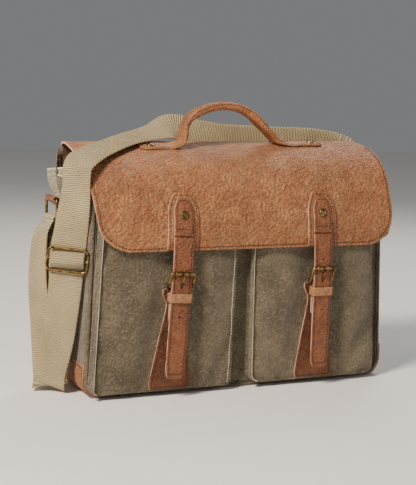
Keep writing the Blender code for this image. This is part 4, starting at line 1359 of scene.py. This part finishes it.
@dataclass
class Closure:
    """A strap closure: patch and sewn strap on the flap, buckle, tab, keeper, snap and anchor."""

    side: Side
    x: float
    lean: float
    flap: Flap
    hinge_z: float = 187.0
    hinge_y: float = -79.8
    plane: float = -83.6
    tail: float = 23.0
    heel: tuple[float, float] = (-77.9, 127.0)
    bar: tuple[float, float] = (-87.0, 146.0)
    half: float = 12.0
    thick: float = 2.2
    anchor_outline: tuple[tuple[float, float], ...] = (
        (9.0, 27.0), (60.0, 19.0), (104.0, 11.5), (114.0, 14.0), (126.0, 20.0))

    def __post_init__(self) -> None:
        """Sets the closure's own directions and names."""
        self.right = Vector((math.cos(self.lean), 0, math.sin(self.lean)))
        self.up = Vector((-math.sin(self.lean), 0, math.cos(self.lean)))
        self.body = f"closure_{self.side}"

    def at(self, y: float, z: float, u: float = 0.0) -> Vector:
        """A place in the closure's own plane."""
        return Vector((self.x, y, self.hinge_z)) + self.up * (z - self.hinge_z) + self.right * u

    def named(self, kind: str) -> str:
        """A piece's name on this side."""
        return f"{kind}_{self.side}"

    def build(self) -> None:
        """Makes every piece of the closure."""
        self.on_flap()
        self.hanging_strap()
        self.buckle()
        self.tab()
        self.keeper()
        self.anchor()

    def rows(self, z_top: float, z_foot: float, half: float, thick: float, lift: float,
             nose: float) -> list[Station]:
        """Cross-sections of a leather piece that lies on the flap's front."""
        top, foot = self.flap.reach(z_top, self.x), self.flap.reach(z_foot, self.x)
        stations = []
        count = 40
        for i in range(count + 1):
            s = top + (foot - top) * (i / count) ** 1.3
            z = self.flap.bare(self.x, s).z
            x = self.x + (self.hinge_z - z) * math.tan(self.lean)
            width = half
            if s - top < nose:
                width *= 0.56 + 0.44 * math.sin(math.pi / 2 * (s - top) / nose)
            if s - top < 2.5:
                width -= 1.6 * (1 - (s - top) / 2.5) ** 2
            normal = self.flap.normal(x, s)
            across = (self.right - normal * self.right.dot(normal)).normalized()
            middle = self.flap.place(x, s, lift + thick / 2)
            stations.append(Station(middle, across, normal, width, thick))
        return stations

    def on_flap(self) -> None:
        """The backing patch, the sewn strap, the rivet and their stitches."""
        patch = self.rows(236.0, 172.2, 19.0, 2.1, 0.0, 26.0)
        dress(strap(self.named("patch_leather"), patch, LEATHER, columns=8), "flap", "leather",
              self.named("strap_patch"))
        sewn = self.rows(229.0, self.hinge_z + 1.7, self.half, 2.2, 2.0, 16.0)
        dress(strap(self.named("sewn_strap_leather"), sewn, STRAP_LEATHER), "flap", "leather",
              f"strap_{self.side}_sewn")
        rows = edge_runs(patch, 2.6, 0.05, nose=True) + edge_runs(sewn[:-3], 2.4, 0.05, nose=True)
        cross = min(sewn, key=lambda s: abs(s.at.z - 196.0))
        rows.append([cross.spot(u, 0.05) for u in (-9.4, -4.0, 4.0, 9.4)])
        rows += [[patch[-3].spot(sign * u, 0.05) for u in (16.4, 15.0, 13.6)] for sign in (-1, 1)]
        Sewing(self.named("patch_stitches"), "flap", "leather", pitch=3.0, length=2.3, radius=0.5).sew(*rows)
        spot = min(sewn, key=lambda s: abs(s.at.z - 212.0))
        self.rivet(self.named("strap_rivet_brass"), spot.spot(0.0, 0.05), spot.out, self.named("strap_rivet"))

    @staticmethod
    def rivet(name: str, at: Vector, axis: Vector, node: str) -> None:
        """A domed rivet with its dark seat, on the flap."""
        profile = [(0.0, 1.5), (1.5, 1.5), (1.8, 1.0), (2.9, 1.0), (3.3, 1.5), (4.1, 1.35), (4.7, 0.8),
                   (4.9, 0.0), (0.0, 0.0)]
        dress(turned(name, profile, at, axis, BRASS), "flap", "brass", node)
        seat = [(0.0, 0.32), (5.4, 0.32), (5.9, 0.1), (5.9, -0.2), (0.0, -0.2)]
        dress(turned(name + "_seat", seat, at, axis, ANCHOR_LEATHER), "flap", "leather")

    def strap_path(self) -> list[Station]:
        """Cross-sections of the hanging strap, from the flap's edge to its rounded tail."""
        bends = [(self.hinge_y - 0.1, self.hinge_z - 0.3, 0.0), (self.hinge_y - 1.2, 178.0, 0.0),
                 (self.plane + 1.3, 165.0, 0.0), (self.plane + 0.2, 152.0, 0.0),
                 (self.plane - 0.2, 140.0, 0.0), (self.plane, 112.0, 0.0), (self.plane + 0.3, 80.0, 0.0),
                 (self.plane, 46.0, 0.0), (self.plane + 0.2, self.tail, 0.0)]
        path = [(y, z) for y, z, _ in smooth(bends, 4.0)]
        stations = []
        for (y, z), ahead in zip(path, directions(path)):
            along = (self.up * ahead.y + Y * ahead.x).normalized()
            left = z - self.tail
            half = self.half
            if left < 16.0:
                half *= 0.62 + 0.38 * math.sqrt(max(1 - (1 - left / 16.0) ** 2, 0.0))
            stations.append(Station(self.at(y, z), self.right, along.cross(self.right), half, self.thick))
        return stations

    def punch(self, made: Piece, deep: float, sides: int, place: Callable[[Vector], Vector]) -> None:
        """Cuts a hole through a leather piece.

        Args:
            made: The piece.
            deep: Half the depth of the punch.
            sides: Faces round it.
            place: Where a point of the punch goes, from its place round the origin on a radius of one.
        """
        punch = turned("punch", [(0, deep), (1, deep), (1, -deep), (0, -deep)], Vector(), Y, FLESH_SIDE, sides)
        for vertex in punch.data.vertices:
            vertex.co = place(vertex.co / MM) * MM
        hole = made.modifiers.new("hole", "BOOLEAN")
        hole.object = punch
        hole.solver = "EXACT"
        applied(made)
        bpy.data.objects.remove(punch)

    def hanging_strap(self) -> None:
        """The strap with its punched holes and its two rows of stitches."""
        stations = self.strap_path()
        made = strap(self.named("hanging_strap_leather"), stations, STRAP_LEATHER)
        holes = [(133.5, 2.6, 6.0), (95.0, 1.3, 1.3)]
        if self.side is Side.RIGHT:
            holes.append((156.0, 1.3, 1.3))
        for z, wide, tall in holes:
            self.punch(made, 8, 24, lambda p: self.at(self.plane + p.y, z + p.z * tall, p.x * wide))
        made.data.set_sharp_from_angle(angle=math.radians(50))
        dress(made, self.body, "leather", f"strap_{self.side}_free")
        Sewing(self.named("hanging_strap_stitches"), self.body, "leather", pitch=3.0, length=2.2).sew(
            *edge_runs(stations[:1:-1], 2.5, 0.03, nose=True))

    def buckle(self) -> None:
        """The cast frame with its roller, and the prong on its heel bar."""
        rise = Vector((self.bar[0] - self.heel[0], self.bar[1] - self.heel[1]))
        tall = rise.length
        slope = rise / tall
        half = 15.0
        outline = rounded([(-half, 0.0, 3.0), (-half, tall, 3.8), (half, tall, 3.8), (half, 0.0, 3.0)], 8)
        path = [self.at(self.heel[0] + slope.x * p.y, self.heel[1] + slope.y * p.y, p.x) for p in outline]
        dress(tube(self.named("buckle_frame_brass"), path, 1.7, BRASS, Y, closed=True), self.body, "brass",
              f"buckle_{self.side}_frame")
        seats = [(0.0, -10.2), (1.9, -10.2), (2.35, -9.8), (2.5, -9.0), (2.5, 9.0), (2.35, 9.8), (1.9, 10.2),
                 (0.0, 10.2)]
        roller = turned(self.named("buckle_roller"), seats, self.at(*self.bar), self.right, BRASS)
        dress(roller, self.body, "brass")
        shape = smooth([(-2.9, 0.8, 0.0), (-4.4, 4.8, 0.0), (-6.9, 8.2, 0.0), (-9.8, 11.5, 0.0),
                        (-11.6, 15.0, 0.0), (-12.2, 19.0, 0.0), (-12.2, 22.0, 0.0)], 1.0)
        line = [self.at(self.heel[0] + y, self.heel[1] + z) for y, z, _ in shape]
        dress(tube(self.named("prong_brass"), line, lambda t: 1.15 - 0.3 * t ** 3, BRASS, X),
              f"prong_{self.side}", "brass", f"buckle_{self.side}_prong")

    def tab(self) -> None:
        """The folded tab round the heel bar, stitched through both layers."""
        fold, close = 2.55, 0.95
        path = [(-close, -37.6), (-close, -5.5), (0.5 - fold, -2.4)]
        path += [(-fold * math.cos(a), fold * math.sin(a)) for a in map(math.radians, range(0, 181, 15))]
        path += [(fold - 0.5, -2.4), (close, -5.5), (close, -36.0)]
        stations = []
        for (y, z), ahead in zip(path, directions(path)):
            along = (self.up * ahead.y + Y * ahead.x).normalized()
            stations.append(Station(self.at(self.heel[0] + y, self.heel[1] + z), self.right,
                                    self.right.cross(along), 11.2, 1.5))
        made = strap(self.named("buckle_tab_leather"), stations, STRAP_LEATHER)
        heel_y, heel_z = self.heel
        self.punch(made, 6, 16,
                   lambda p: self.at(heel_y - 3.4 + p.y * 0.5, heel_z + 0.8 + p.z * 5.4, p.x * 2.2))
        dress(made, self.body, "leather", f"buckle_{self.side}_tab")
        front = self.heel[0] - close - 0.85
        box = [(-8.8, -8.0), (-8.8, -34.8), (8.8, -34.8), (8.8, -8.0)]
        Sewing(self.named("buckle_tab_stitches"), self.body, "leather", pitch=3.0, length=2.2).sew(
            self.at(front, heel_z + z, u) for u, z in box)
        cap = [(0.0, 3.2), (4.6, 3.2), (5.6, 3.0), (7.2, 2.1), (7.2, 0.0), (0.0, 0.0)]
        back = self.heel[0] + 2.0
        dress(turned(self.named("snap_cap_nickel"), cap, self.at(back, 101.0), Y, STEEL), self.body, "steel",
              f"snap_{self.side}_cap")

    def keeper(self) -> None:
        """The leather loop round strap and tab."""
        half_x, half_y, tall, thick = 13.3, 5.5, 10.0, 1.3
        middle_y, z = (self.plane + self.heel[0]) / 2, 117.0
        ring = rounded([(-half_x, -half_y, 2.4), (half_x, -half_y, 2.4), (half_x, half_y, 2.4),
                        (-half_x, half_y, 2.4)], 6)
        stations = []
        count = len(ring)
        for i in range(count + 1):
            ahead = ring[(i + 1) % count] - ring[(i - 1) % count]
            if ahead.length < 1e-6:
                ahead = ring[(i + 2) % count] - ring[(i - 2) % count]
            out = (self.right * ahead.y - Y * ahead.x).normalized()
            p = ring[i % count]
            stations.append(Station(self.at(middle_y + p.y, z, p.x), self.up, out, tall / 2, thick))
        made = strap(self.named("keeper_leather"), stations, KEEPER_LEATHER, columns=4)
        dress(made, self.named("keeper"), "leather", self.named("keeper"))

    def anchor(self) -> None:
        """The waisted anchor on the pocket, with its stitched edge and the snap's lower half."""
        front, thick = -70.0, 2.0
        outline = smooth([(z, half, 0.0) for z, half in self.anchor_outline], 3.0)
        stations = []
        for z, half, _ in outline:
            low = 1 - 0.10 * (1 - ease(z, 9.0, 15.0)) - 0.16 * ease(z, 120.0, 126.0)
            at = Vector((self.x + (self.hinge_z - z) * math.tan(self.lean), front + thick / 2, z))
            stations.append(Station(at, X, -Y, half * low, thick))
        dress(strap(self.named("anchor_leather"), stations, ANCHOR_LEATHER, columns=10, corner=0.7), "root",
              "leather", self.named("anchor"))
        inner = stations[1:-1]
        ends = [[s.spot(u, 0.03) for u in (3.0 - s.half, 0.0, s.half - 3.0)] for s in (inner[0], inner[-1])]
        Sewing(self.named("anchor_stitches"), "root", "leather", pitch=3.0, length=2.2).sew(
            *edge_runs(inner, 3.0, 0.03), *ends)
        base = [(0.0, 2.1), (6.6, 2.1), (7.4, 1.9), (8.0, 1.2), (8.0, 0.0), (0.0, 0.0)]
        at = Vector((self.x + (self.hinge_z - 101.0) * math.tan(self.lean), front - 0.2, 101.0))
        dress(turned(self.named("snap_base_nickel"), base, at, -Y, STEEL), "root", "steel",
              f"snap_{self.side}_base")


# ---- handle

@dataclass
class Handle:
    """The leather handle: two riveted tabs that fold up into legs and roll into a grip."""

    flap: Flap
    y: float = 10.0
    grip: tuple[tuple[float, float], ...] = (
        (-55.5, 299.5), (-55.0, 305.5), (-52.5, 314.5), (-43.0, 325.0), (-22.0, 333.8), (0.0, 336.6),
        (19.0, 334.2), (35.0, 326.8), (48.0, 316.0), (58.0, 306.5), (65.0, 300.0))

    def build(self) -> None:
        """Makes the strip, its stitches and rivets."""
        stations = self.stations()
        made = strap("handle_leather", stations, HANDLE_LEATHER, None, columns=10, corner=3.4)
        dress(made, ("flap", "handle"), "leather", "handle_grip", "handle_tab_left", "handle_tab_right",
              ends=((0, self.y, 296.5), (0, self.y, 311.0)))
        self.stitches(stations)
        for node, x in (("left", -98.0), ("right", 120.0)):
            s = self.foot()
            at = self.flap.place(x, s, 2.5)
            Closure.rivet(f"handle_rivet_brass_{node}", at, self.flap.normal(x, s), f"handle_rivet_{node}")

    def foot(self) -> float:
        """The distance along the flap of the line under the handle."""
        return min((abs(y - self.y), s) for s, y, _ in self.flap.line)[1]

    def stations(self) -> list[Station]:
        """Cross-sections from the left tab's tip over the grip to the right tab's tip."""
        s = self.foot()
        lift = 1.25
        tab = [(x, self.flap.place(x, s, lift).z) for x in (-112.0, -104.0, -96.0, -84.0, -74.0)]
        other = [(x, self.flap.place(x, s, lift).z) for x in (88.0, 100.0, 112.0, 126.0, 134.0)]
        bends = [*tab, (-64.5, 289.5), (-58.5, 292.0), *self.grip, (71.0, 294.2), (77.0, 292.8), *other]
        path = smooth([(x, z, 0.0) for x, z in bends], 2.0)
        total = [0.0]
        for a, b in zip(path, path[1:]):
            total.append(total[-1] + math.dist(a[:2], b[:2]))
        stations = []
        for (x, z, _), ahead, length in zip(path, directions(path), total):
            run = min(length, total[-1] - length)
            slope = (self.flap.bare(x, s + 3.0) - self.flap.bare(x, s - 3.0)).normalized()
            across = slope.lerp(-Y, ease(run, 46.0, 74.0)).normalized()
            out = across.cross(Vector((ahead.x, 0, ahead.y))).normalized()
            half = 13.4 - 1.6 * ease(run, 50, 66) - 4.0 * ease(run, 88, 122)
            thick = 2.5 + 4.0 * ease(run, 50, 66) + 3.6 * ease(run, 76, 104)
            if run < 13.0:
                half *= 0.34 + 0.66 * math.sqrt(max(1 - (1 - run / 13.0) ** 2, 0.0))
            stations.append(Station(Vector((x, self.y, z)), across, out, half, thick))
        return stations

    def stitches(self, stations: list[Station]) -> None:
        """Stitches round each tab, up the legs and along the grip's seam."""
        low = [s for s in stations if s.at.z < 293.5]
        left, right = [s for s in low if s.at.x < 0], [s for s in low if s.at.x > 0][::-1]
        Sewing("handle_tab_stitches", "flap", "leather").sew(
            *edge_runs(left, 2.4, 0.04, nose=True), *edge_runs(right, 2.4, 0.04, nose=True))
        upper = [s for s in stations if s.at.z > 312.0]
        rows = [[s.at + s.across * (s.half + 0.05) + s.out * s.thick * 0.2 for s in upper]]
        for leg in ([s for s in upper if s.at.x < -30.0], [s for s in upper if s.at.x > 30.0]):
            rows += [[s.spot(u, 0.02) for s in leg] for u in (-3.4, 3.4)]
        Sewing("handle_seam_stitches", "handle", "leather", pitch=3.2, length=2.2, radius=0.5).sew(*rows)


# ---- shoulder strap and hardware

@dataclass(frozen=True)
class Slider:
    """The wire slider's place and directions."""

    at: Vector = Vector((-215.5, -43.5, 160.0)).freeze()
    half: float = 22.8
    pitch: float = 13.0
    wire: float = 1.6

    @property
    def up(self) -> Vector:
        """The direction up along the strap."""
        return Vector((6.0, -2.5, 65.0)).normalized()

    @property
    def across(self) -> Vector:
        """The direction across the strap."""
        way = Vector((0.90, -0.43, 0.0))
        return (way - self.up * way.dot(self.up)).normalized()

    @property
    def out(self) -> Vector:
        """The direction that the slider's face looks."""
        return self.across.cross(self.up)

    def build(self) -> None:
        """Makes the frame, its bar and the bar's two knobs."""
        tall = self.pitch
        outline = rounded([(-self.half, tall, 5.5), (self.half, tall, 5.5), (self.half, -tall, 5.5),
                           (-self.half, -tall, 5.5)], 10)
        path = [self.at + self.across * p.x + self.up * p.y for p in outline]
        dress(tube("slider_frame_brass", path, self.wire, BRASS, self.out, closed=True), "slider", "brass",
              "slider_frame")
        ends = [self.at - self.across * self.half, self.at + self.across * self.half]
        long, thin = self.half + 0.4, 1.4
        rod = [(0, -long), (thin, -long), (thin, long), (0, long)]
        dress(turned("slider_bar_brass", rod, self.at, self.across, BRASS), "slider", "brass", "slider_bar")
        for name, end, way in (("near", ends[1], 1), ("far", ends[0], -1)):
            knob = [(0.0, 1.9), (1.3, 1.7), (2.2, 0.9), (2.4, 0.0), (2.1, -1.2), (0.0, -1.2)]
            dress(turned(f"slider_knob_{name}", knob, end, self.across * way, BRASS), "slider", "brass")


@dataclass
class ShoulderStrap:
    """The herringbone webbing: over the flap, through both rings, doubled back to the slider."""

    slider: Slider
    half: float = 19.0
    thick: float = 1.8
    rib: float = 2.3
    ring_bar: float = 203.0
    crest: tuple[tuple[float, ...], ...] = (
        (20.0, 62.5, 294.0, 0.0, 0.0, -1.0), (-15.0, 63.5, 299.5, 0.0, -0.1, -1.0),
        (-48.0, 61.0, 308.5, 0.03, -0.55, -0.83), (-80.0, 50.0, 301.0, 0.1, -0.9, -0.36),
        (-118.0, 27.0, 295.0, 0.35, -0.9, -0.2), (-150.0, 3.0, 288.0, 0.5, -0.85, -0.16),
        (-180.0, -21.0, 280.0, 0.62, -0.75, -0.2), (-198.0, -37.0, 272.0, 0.68, -0.70, -0.2),
        (-204.5, -41.5, 263.0, 0.64, -0.77, -0.05), (-205.8, -42.8, 250.0, 0.60, -0.80, 0.0),
        (-206.6, -43.4, 238.0, 0.64, -0.77, 0.0), (-208.0, -44.4, 224.0, 0.74, -0.67, 0.0))
    crest_right: tuple[tuple[float, ...], ...] = (
        (20.0, 62.5, 294.0, 0.0, 0.0, -1.0), (90.0, 62.5, 292.0, 0.0, 0.0, -1.0),
        (150.0, 62.5, 290.5, 0.0, 0.0, -1.0), (188.0, 63.0, 285.6, -0.3, 0.0, -0.95),
        (196.0, 62.8, 283.0, -0.3, 0.0, -0.95), (204.6, 62.4, 279.8, -0.36, 0.0, -0.93),
        (216.0, 58.0, 266.0, -0.75, -0.35, -0.5), (225.0, 46.0, 244.0, -0.45, -0.85, 0.1),
        (230.0, 25.0, 214.0, -0.1, -0.98, 0.1), (231.0, 8.0, 190.0, 0.0, -1.0, 0.0),
        (228.5, 3.2, 178.0, 0.0, -1.0, 0.0), (223.5, 3.0, 173.0, 0.0, -1.0, 0.0),
        (218.0, 3.0, 177.0, 0.0, -1.0, 0.0), (216.8, 3.0, 187.0, 0.0, -1.0, 0.0))
    outer: tuple[tuple[float, ...], ...] = (
        (-216.8, -36.5, 120.0, 0.87, -0.50, 0.0), (-220.0, -26.0, 70.0, 0.82, -0.57, 0.0),
        (-226.0, -17.0, 28.0, 0.74, -0.67, 0.0), (-226.5, -14.0, 15.0, 0.70, -0.71, 0.0),
        (-226.0, -8.0, 8.0, 0.69, -0.73, 0.0), (-225.0, 0.5, 11.0, 0.67, -0.74, 0.0),
        (-226.0, 5.0, 24.0, 0.63, -0.78, 0.0), (-231.0, 5.5, 70.0, 0.45, -0.89, 0.0),
        (-237.0, 4.0, 130.0, 0.30, -0.95, 0.0), (-235.0, 2.5, 180.0, 0.16, -0.98, 0.0),
        (-227.5, 2.5, 197.0, 0.0, -1.0, 0.0))
    inner: tuple[tuple[float, ...], ...] = (
        (-228.5, 2.0, 170.0, 0.16, -0.98, 0.0), (-231.2, 2.5, 130.0, 0.30, -0.95, 0.0),
        (-226.0, 3.5, 72.0, 0.45, -0.89, 0.0), (-220.5, 4.0, 30.0, 0.63, -0.78, 0.0),
        (-221.0, -4.0, 17.0, 0.68, -0.74, 0.0), (-222.0, -10.0, 17.5, 0.70, -0.72, 0.0),
        (-221.8, -12.6, 30.0, 0.74, -0.67, 0.0), (-217.6, -20.8, 72.0, 0.82, -0.57, 0.0),
        (-213.8, -31.0, 120.0, 0.87, -0.50, 0.0))

    def turn(self, sign: int) -> list[tuple[float, ...]]:
        """The webbing's turn round a ring's lower bar."""
        clear = RING_WIRE + 0.9 + self.thick / 2
        angles = range(-20, 201, 20) if sign < 0 else range(180, -1, -20)
        return [(sign * RING_X + sign * math.cos(a) * clear, RING_Y,
                 self.ring_bar + math.sin(a) * clear, 0.0, -1.0, 0.0) for a in map(math.radians, angles)]

    def build(self) -> None:
        """Makes every length of the webbing."""
        slider = self.slider
        at, up, out, way = slider.at, slider.up, slider.out, (0.90, -0.43, 0.0)

        def over(rise: float, lift: float) -> tuple[float, ...]:
            return (*(at + up * rise + out * lift), *way)

        bulge = [(18.0, -3.6), (13.0, -3.7), (10.0, -3.2), (6.5, 1.0), (3.5, 4.4), (0.0, 5.4), (-3.5, 4.4),
                 (-6.5, 1.0), (-10.0, -3.2), (-13.0, -3.7), (-18.0, -3.6)]
        left = list(self.crest) + [over(34.0, -2.5)] + [over(*b) for b in bulge]
        left += list(self.outer)
        line = self.stations(self.dense(left + self.turn(-1)[:-3] + list(self.inner)))
        LOG.info("webbing from the crest to the left end is %.0f mm", len(line) * self.rib / 2)
        top, foot = at + up * 62.0, at - up * 55.0
        cuts = [min(range(len(line)), key=lambda i: (line[i].at - spot).length) for spot in (top, at, foot)]
        low = next(i for i in range(cuts[2], len(line)) if line[i].at.z < 12.0)
        ring_from = next(i for i in range(low, len(line)) if line[i].at.z > 128.0)
        ring_to = next(i for i in range(ring_from + 60, len(line)) if line[i].at.z < 128.0)
        over_flap, to_ring = ("root", "flap"), ("root", "ring_left")
        self.piece("webbing_crest_left", line[:cuts[0] + 1], 0, over_flap, "strap_over_flap",
                   ends=((-213, -47, 215), (-165, -9, 284)))
        self.piece("webbing_above_slider", line[cuts[0]:cuts[1] + 1], cuts[0], ("root", "slider"),
                   ends=(at + up * 55.0, at + up * 20.0))
        self.piece("webbing_below_slider", line[cuts[1]:cuts[2] + 1], cuts[1], ("root", "slider"),
                   ends=(at - up * 52.0, at - up * 20.0))
        self.piece("webbing_outer_fall", line[cuts[2]:ring_from + 1], cuts[2], "root", "strap_left_loop")
        self.piece("webbing_ring_left", line[ring_from:ring_to + 1], ring_from, to_ring,
                   ends=((-233, 3, 132), (-224, 3, 196)))
        self.piece("webbing_inner_fall", line[ring_to:], ring_to, "root")
        right = self.dense(list(self.crest_right) + self.turn(1))
        line = self.stations(right)
        LOG.info("webbing from the crest to the right end is %.0f mm", len(line) * self.rib / 2)
        ring = next(i for i in range(len(line)) if line[i].at.z < 240.0)
        self.piece("webbing_crest_right", line[:ring + 1], 0, over_flap, "strap_right_drop",
                   ends=((206, 60, 280), (100, 60, 292)))
        self.piece("webbing_ring_right", line[ring:], ring, ("root", "ring_right"),
                   ends=((227, 42, 238), (224, 12, 208)))
        self.fold()

    def fold(self) -> None:
        """The webbing's end, folded round the slider's bar; its bar-tack is not made."""
        at, up, out, across = self.slider.at, self.slider.up, self.slider.out, self.slider.across
        wrap = [(-6.6, -14.0), (-5.6, -7.5), (-3.9, -3.6)]
        wrap += [(-2.65 * math.cos(a), 2.65 * math.sin(a)) for a in map(math.radians, range(-20, 221, 15))]
        rows = [(*(at + out * o + up * u), *across) for o, u in wrap]
        self.piece("webbing_end_fold", self.stations(self.dense(rows), 1.5), 0, "slider", "strap_end_fold")

    def dense(self, rows: Sequence[Sequence[float]]) -> list[tuple[float, ...]]:
        """The path resampled at half a rib, through an even smooth curve."""
        fine = smooth(rows, 0.6)
        path, carry, step = [fine[0]], 0.0, self.rib / 2
        for a, b in zip(fine, fine[1:]):
            gap = math.dist(a[:3], b[:3])
            while carry + gap >= step:
                t = (step - carry) / gap
                a = tuple(p + (q - p) * t for p, q in zip(a, b))
                path.append(a)
                gap = math.dist(a[:3], b[:3])
                carry = 0.0
            carry += gap
        return path

    def stations(self, path: list[tuple[float, ...]], thick: float | None = None) -> list[Station]:
        """Cross-sections on a path, their widths serrated by the ribs."""
        made = []
        for i, (row, along) in enumerate(zip(path, directions([row[:3] for row in path]))):
            across = Vector(row[3:])
            across = (across - along * across.dot(along)).normalized()
            half = self.half + (0.55 if i % 2 else -0.55)
            wide = (thick or self.thick) + (0.25 if i % 2 else -0.25)
            made.append(Station(Vector(row[:3]), across, across.cross(along), half, wide))
        return made

    def piece(self, name: str, run: list[Station], first: int, body: str | tuple[str, str], *nodes: str,
              ends: tuple[Sequence[float], Sequence[float]] | None = None) -> None:
        """One length of webbing with its weave map, dressed.

        Args:
            name: The piece's name.
            run: Its stations.
            first: The number of its first station on the whole strap.
            body: The body that it moves with; where a bend is meant, the bodies before and after it, which
                dress only logs.
            *nodes: The nodes that it replaces.
            ends: Where its bend would start and end; when given, the piece is baked in place instead of riding
                a body.
        """
        columns = 8
        made = strap(name, run, WEBBING, None, columns=columns, corner=0.7)
        weave = made.data.uv_layers.new(name="weave")
        around = 2 * (columns + 5)
        for loop in made.data.loops:
            i = loop.vertex_index // around
            u = (made.data.vertices[loop.vertex_index].co / MM - run[i].at).dot(run[i].across)
            weave.data[loop.index].uv = (u + self.half, (first + i) * self.rib / 2)
        dress(made, body, "webbing", *nodes, ends=ends)


@dataclass
class SideRing:
    """A rectangular wire ring at the bag's side."""

    side: Side
    half: float = 21.8
    drop: float = 23.0

    def build(self) -> None:
        """Makes the ring."""
        flat = rounded([(-self.half, 0.0, 4.0), (self.half, 0.0, 4.0), (self.half, -self.drop, 4.0),
                        (-self.half, -self.drop, 4.0)], 8)
        path = [Vector((self.side.sign * RING_X, RING_Y + p.x, RING_TOP + p.y)) for p in flat]
        name = f"ring_{self.side}"
        dress(tube(name + "_brass", path, RING_WIRE, BRASS, X, closed=True), name, "brass", name)


# ---- studio

@dataclass
class Studio:
    """A pale floor, soft light from the upper left front and the camera."""

    eye: Vector = field(default_factory=lambda: Vector((-575.0, -1234.0, 340.0)))
    yaw: float = math.radians(24.1)
    pitch: float = math.radians(7.2)
    roll: float = math.radians(1.5)
    lens: float = 82.02

    def build(self) -> None:
        """Sets the floor, the light and the camera."""
        self.floor()
        self.world()
        self.area("key", Vector((-1500.0, -800.0, 1700.0)), 480.0, 78.0, "#fff3e4")
        self.area("fill", Vector((1300.0, -1500.0, 900.0)), 1200.0, 5.0, "#f3f5ff")
        self.area("rim", Vector((900.0, 1100.0, 1500.0)), 800.0, 14.0, "#fffaf2")
        self.camera()

    @staticmethod
    def floor() -> None:
        """A wide pale floor under the base."""
        size = 6000.0
        points = [Vector((x * size, y * size, -0.4)) for x, y in ((-1, -1), (1, -1), (1, 1), (-1, 1))]
        paper = CutEdge("studio_paper", base="#f4f2ee", deep="#f2f0ec")
        new_object("studio_floor", points, [(0, 1, 2, 3)], [paper])

    @staticmethod
    def world() -> None:
        """An even pale surround."""
        world = bpy.data.worlds.new("soft_surround")
        world.use_nodes = True
        ground = world.node_tree.nodes["Background"]
        ground.inputs["Color"].default_value = linear("#f3f4f6")
        ground.inputs["Strength"].default_value = 0.22
        bpy.context.scene.world = world

    @staticmethod
    def area(name: str, at: Vector, size: float, power: float, colour: str) -> None:
        """A square soft light aimed at the bag's middle."""
        lamp = bpy.data.lights.new(name, "AREA")
        lamp.size = size * MM
        lamp.energy = power
        lamp.color = linear(colour)[:3]
        made = bpy.data.objects.new(name, lamp)
        aim = (at - Vector((0, 0, 150))).to_track_quat("Z", "Y")
        made.matrix_world = Matrix.LocRotScale(at * MM, aim, None)
        bpy.context.scene.collection.objects.link(made)

    def camera(self) -> None:
        """The camera, a little left of the bag and slightly above it."""
        ahead = Vector((math.sin(self.yaw) * math.cos(self.pitch), math.cos(self.yaw) * math.cos(self.pitch),
                        -math.sin(self.pitch)))
        right = Vector((math.cos(self.yaw), -math.sin(self.yaw), 0))
        up = right.cross(ahead)
        c, s = math.cos(self.roll), math.sin(self.roll)
        axes = Matrix((right * c + up * s, up * c - right * s, -ahead)).transposed()
        lens = bpy.data.cameras.new("camera")
        lens.lens = self.lens
        lens.sensor_width = 36.0
        lens.clip_start, lens.clip_end = 0.05, 50.0
        made = bpy.data.objects.new("camera", lens)
        made.matrix_world = Matrix.LocRotScale(self.eye * MM, axes.to_quaternion(), None)
        bpy.context.scene.collection.objects.link(made)
        bpy.context.scene.camera = made


# ---- the whole bag

@dataclass
class MessengerBag:
    """Every sub-assembly, in the order that they are made."""

    flap: Flap = field(default_factory=Flap)
    slider: Slider = field(default_factory=Slider)

    def parts(self) -> list:
        """The sub-assemblies."""
        faces = {Side.LEFT: Panel((-184.0, -13.0), (-194.0, -19.0), 204.0, 6.0, 7.0),
                 Side.RIGHT: Panel((4.0, 169.0), (5.0, 179.0), 204.0, 6.0, 12.0)}
        hung = {Side.LEFT: (-88.5, math.radians(-3.5)), Side.RIGHT: (93.5, math.radians(-0.6))}
        pockets = [Pocket(side, faces[side], *hung[side]) for side in Side]
        closures = [Closure(side, *hung[side], self.flap) for side in Side]
        return [CanvasBody(), *pockets, self.flap, *closures, Handle(self.flap), *map(SideRing, Side),
                self.slider, ShoulderStrap(self.slider)]

    def build(self) -> None:
        """Makes them all."""
        for part in self.parts():
            part.build()


def main() -> None:
    """Builds the bag and its studio."""
    MessengerBag().build()
    Studio().build()


if __name__ == "__main__":
    main()
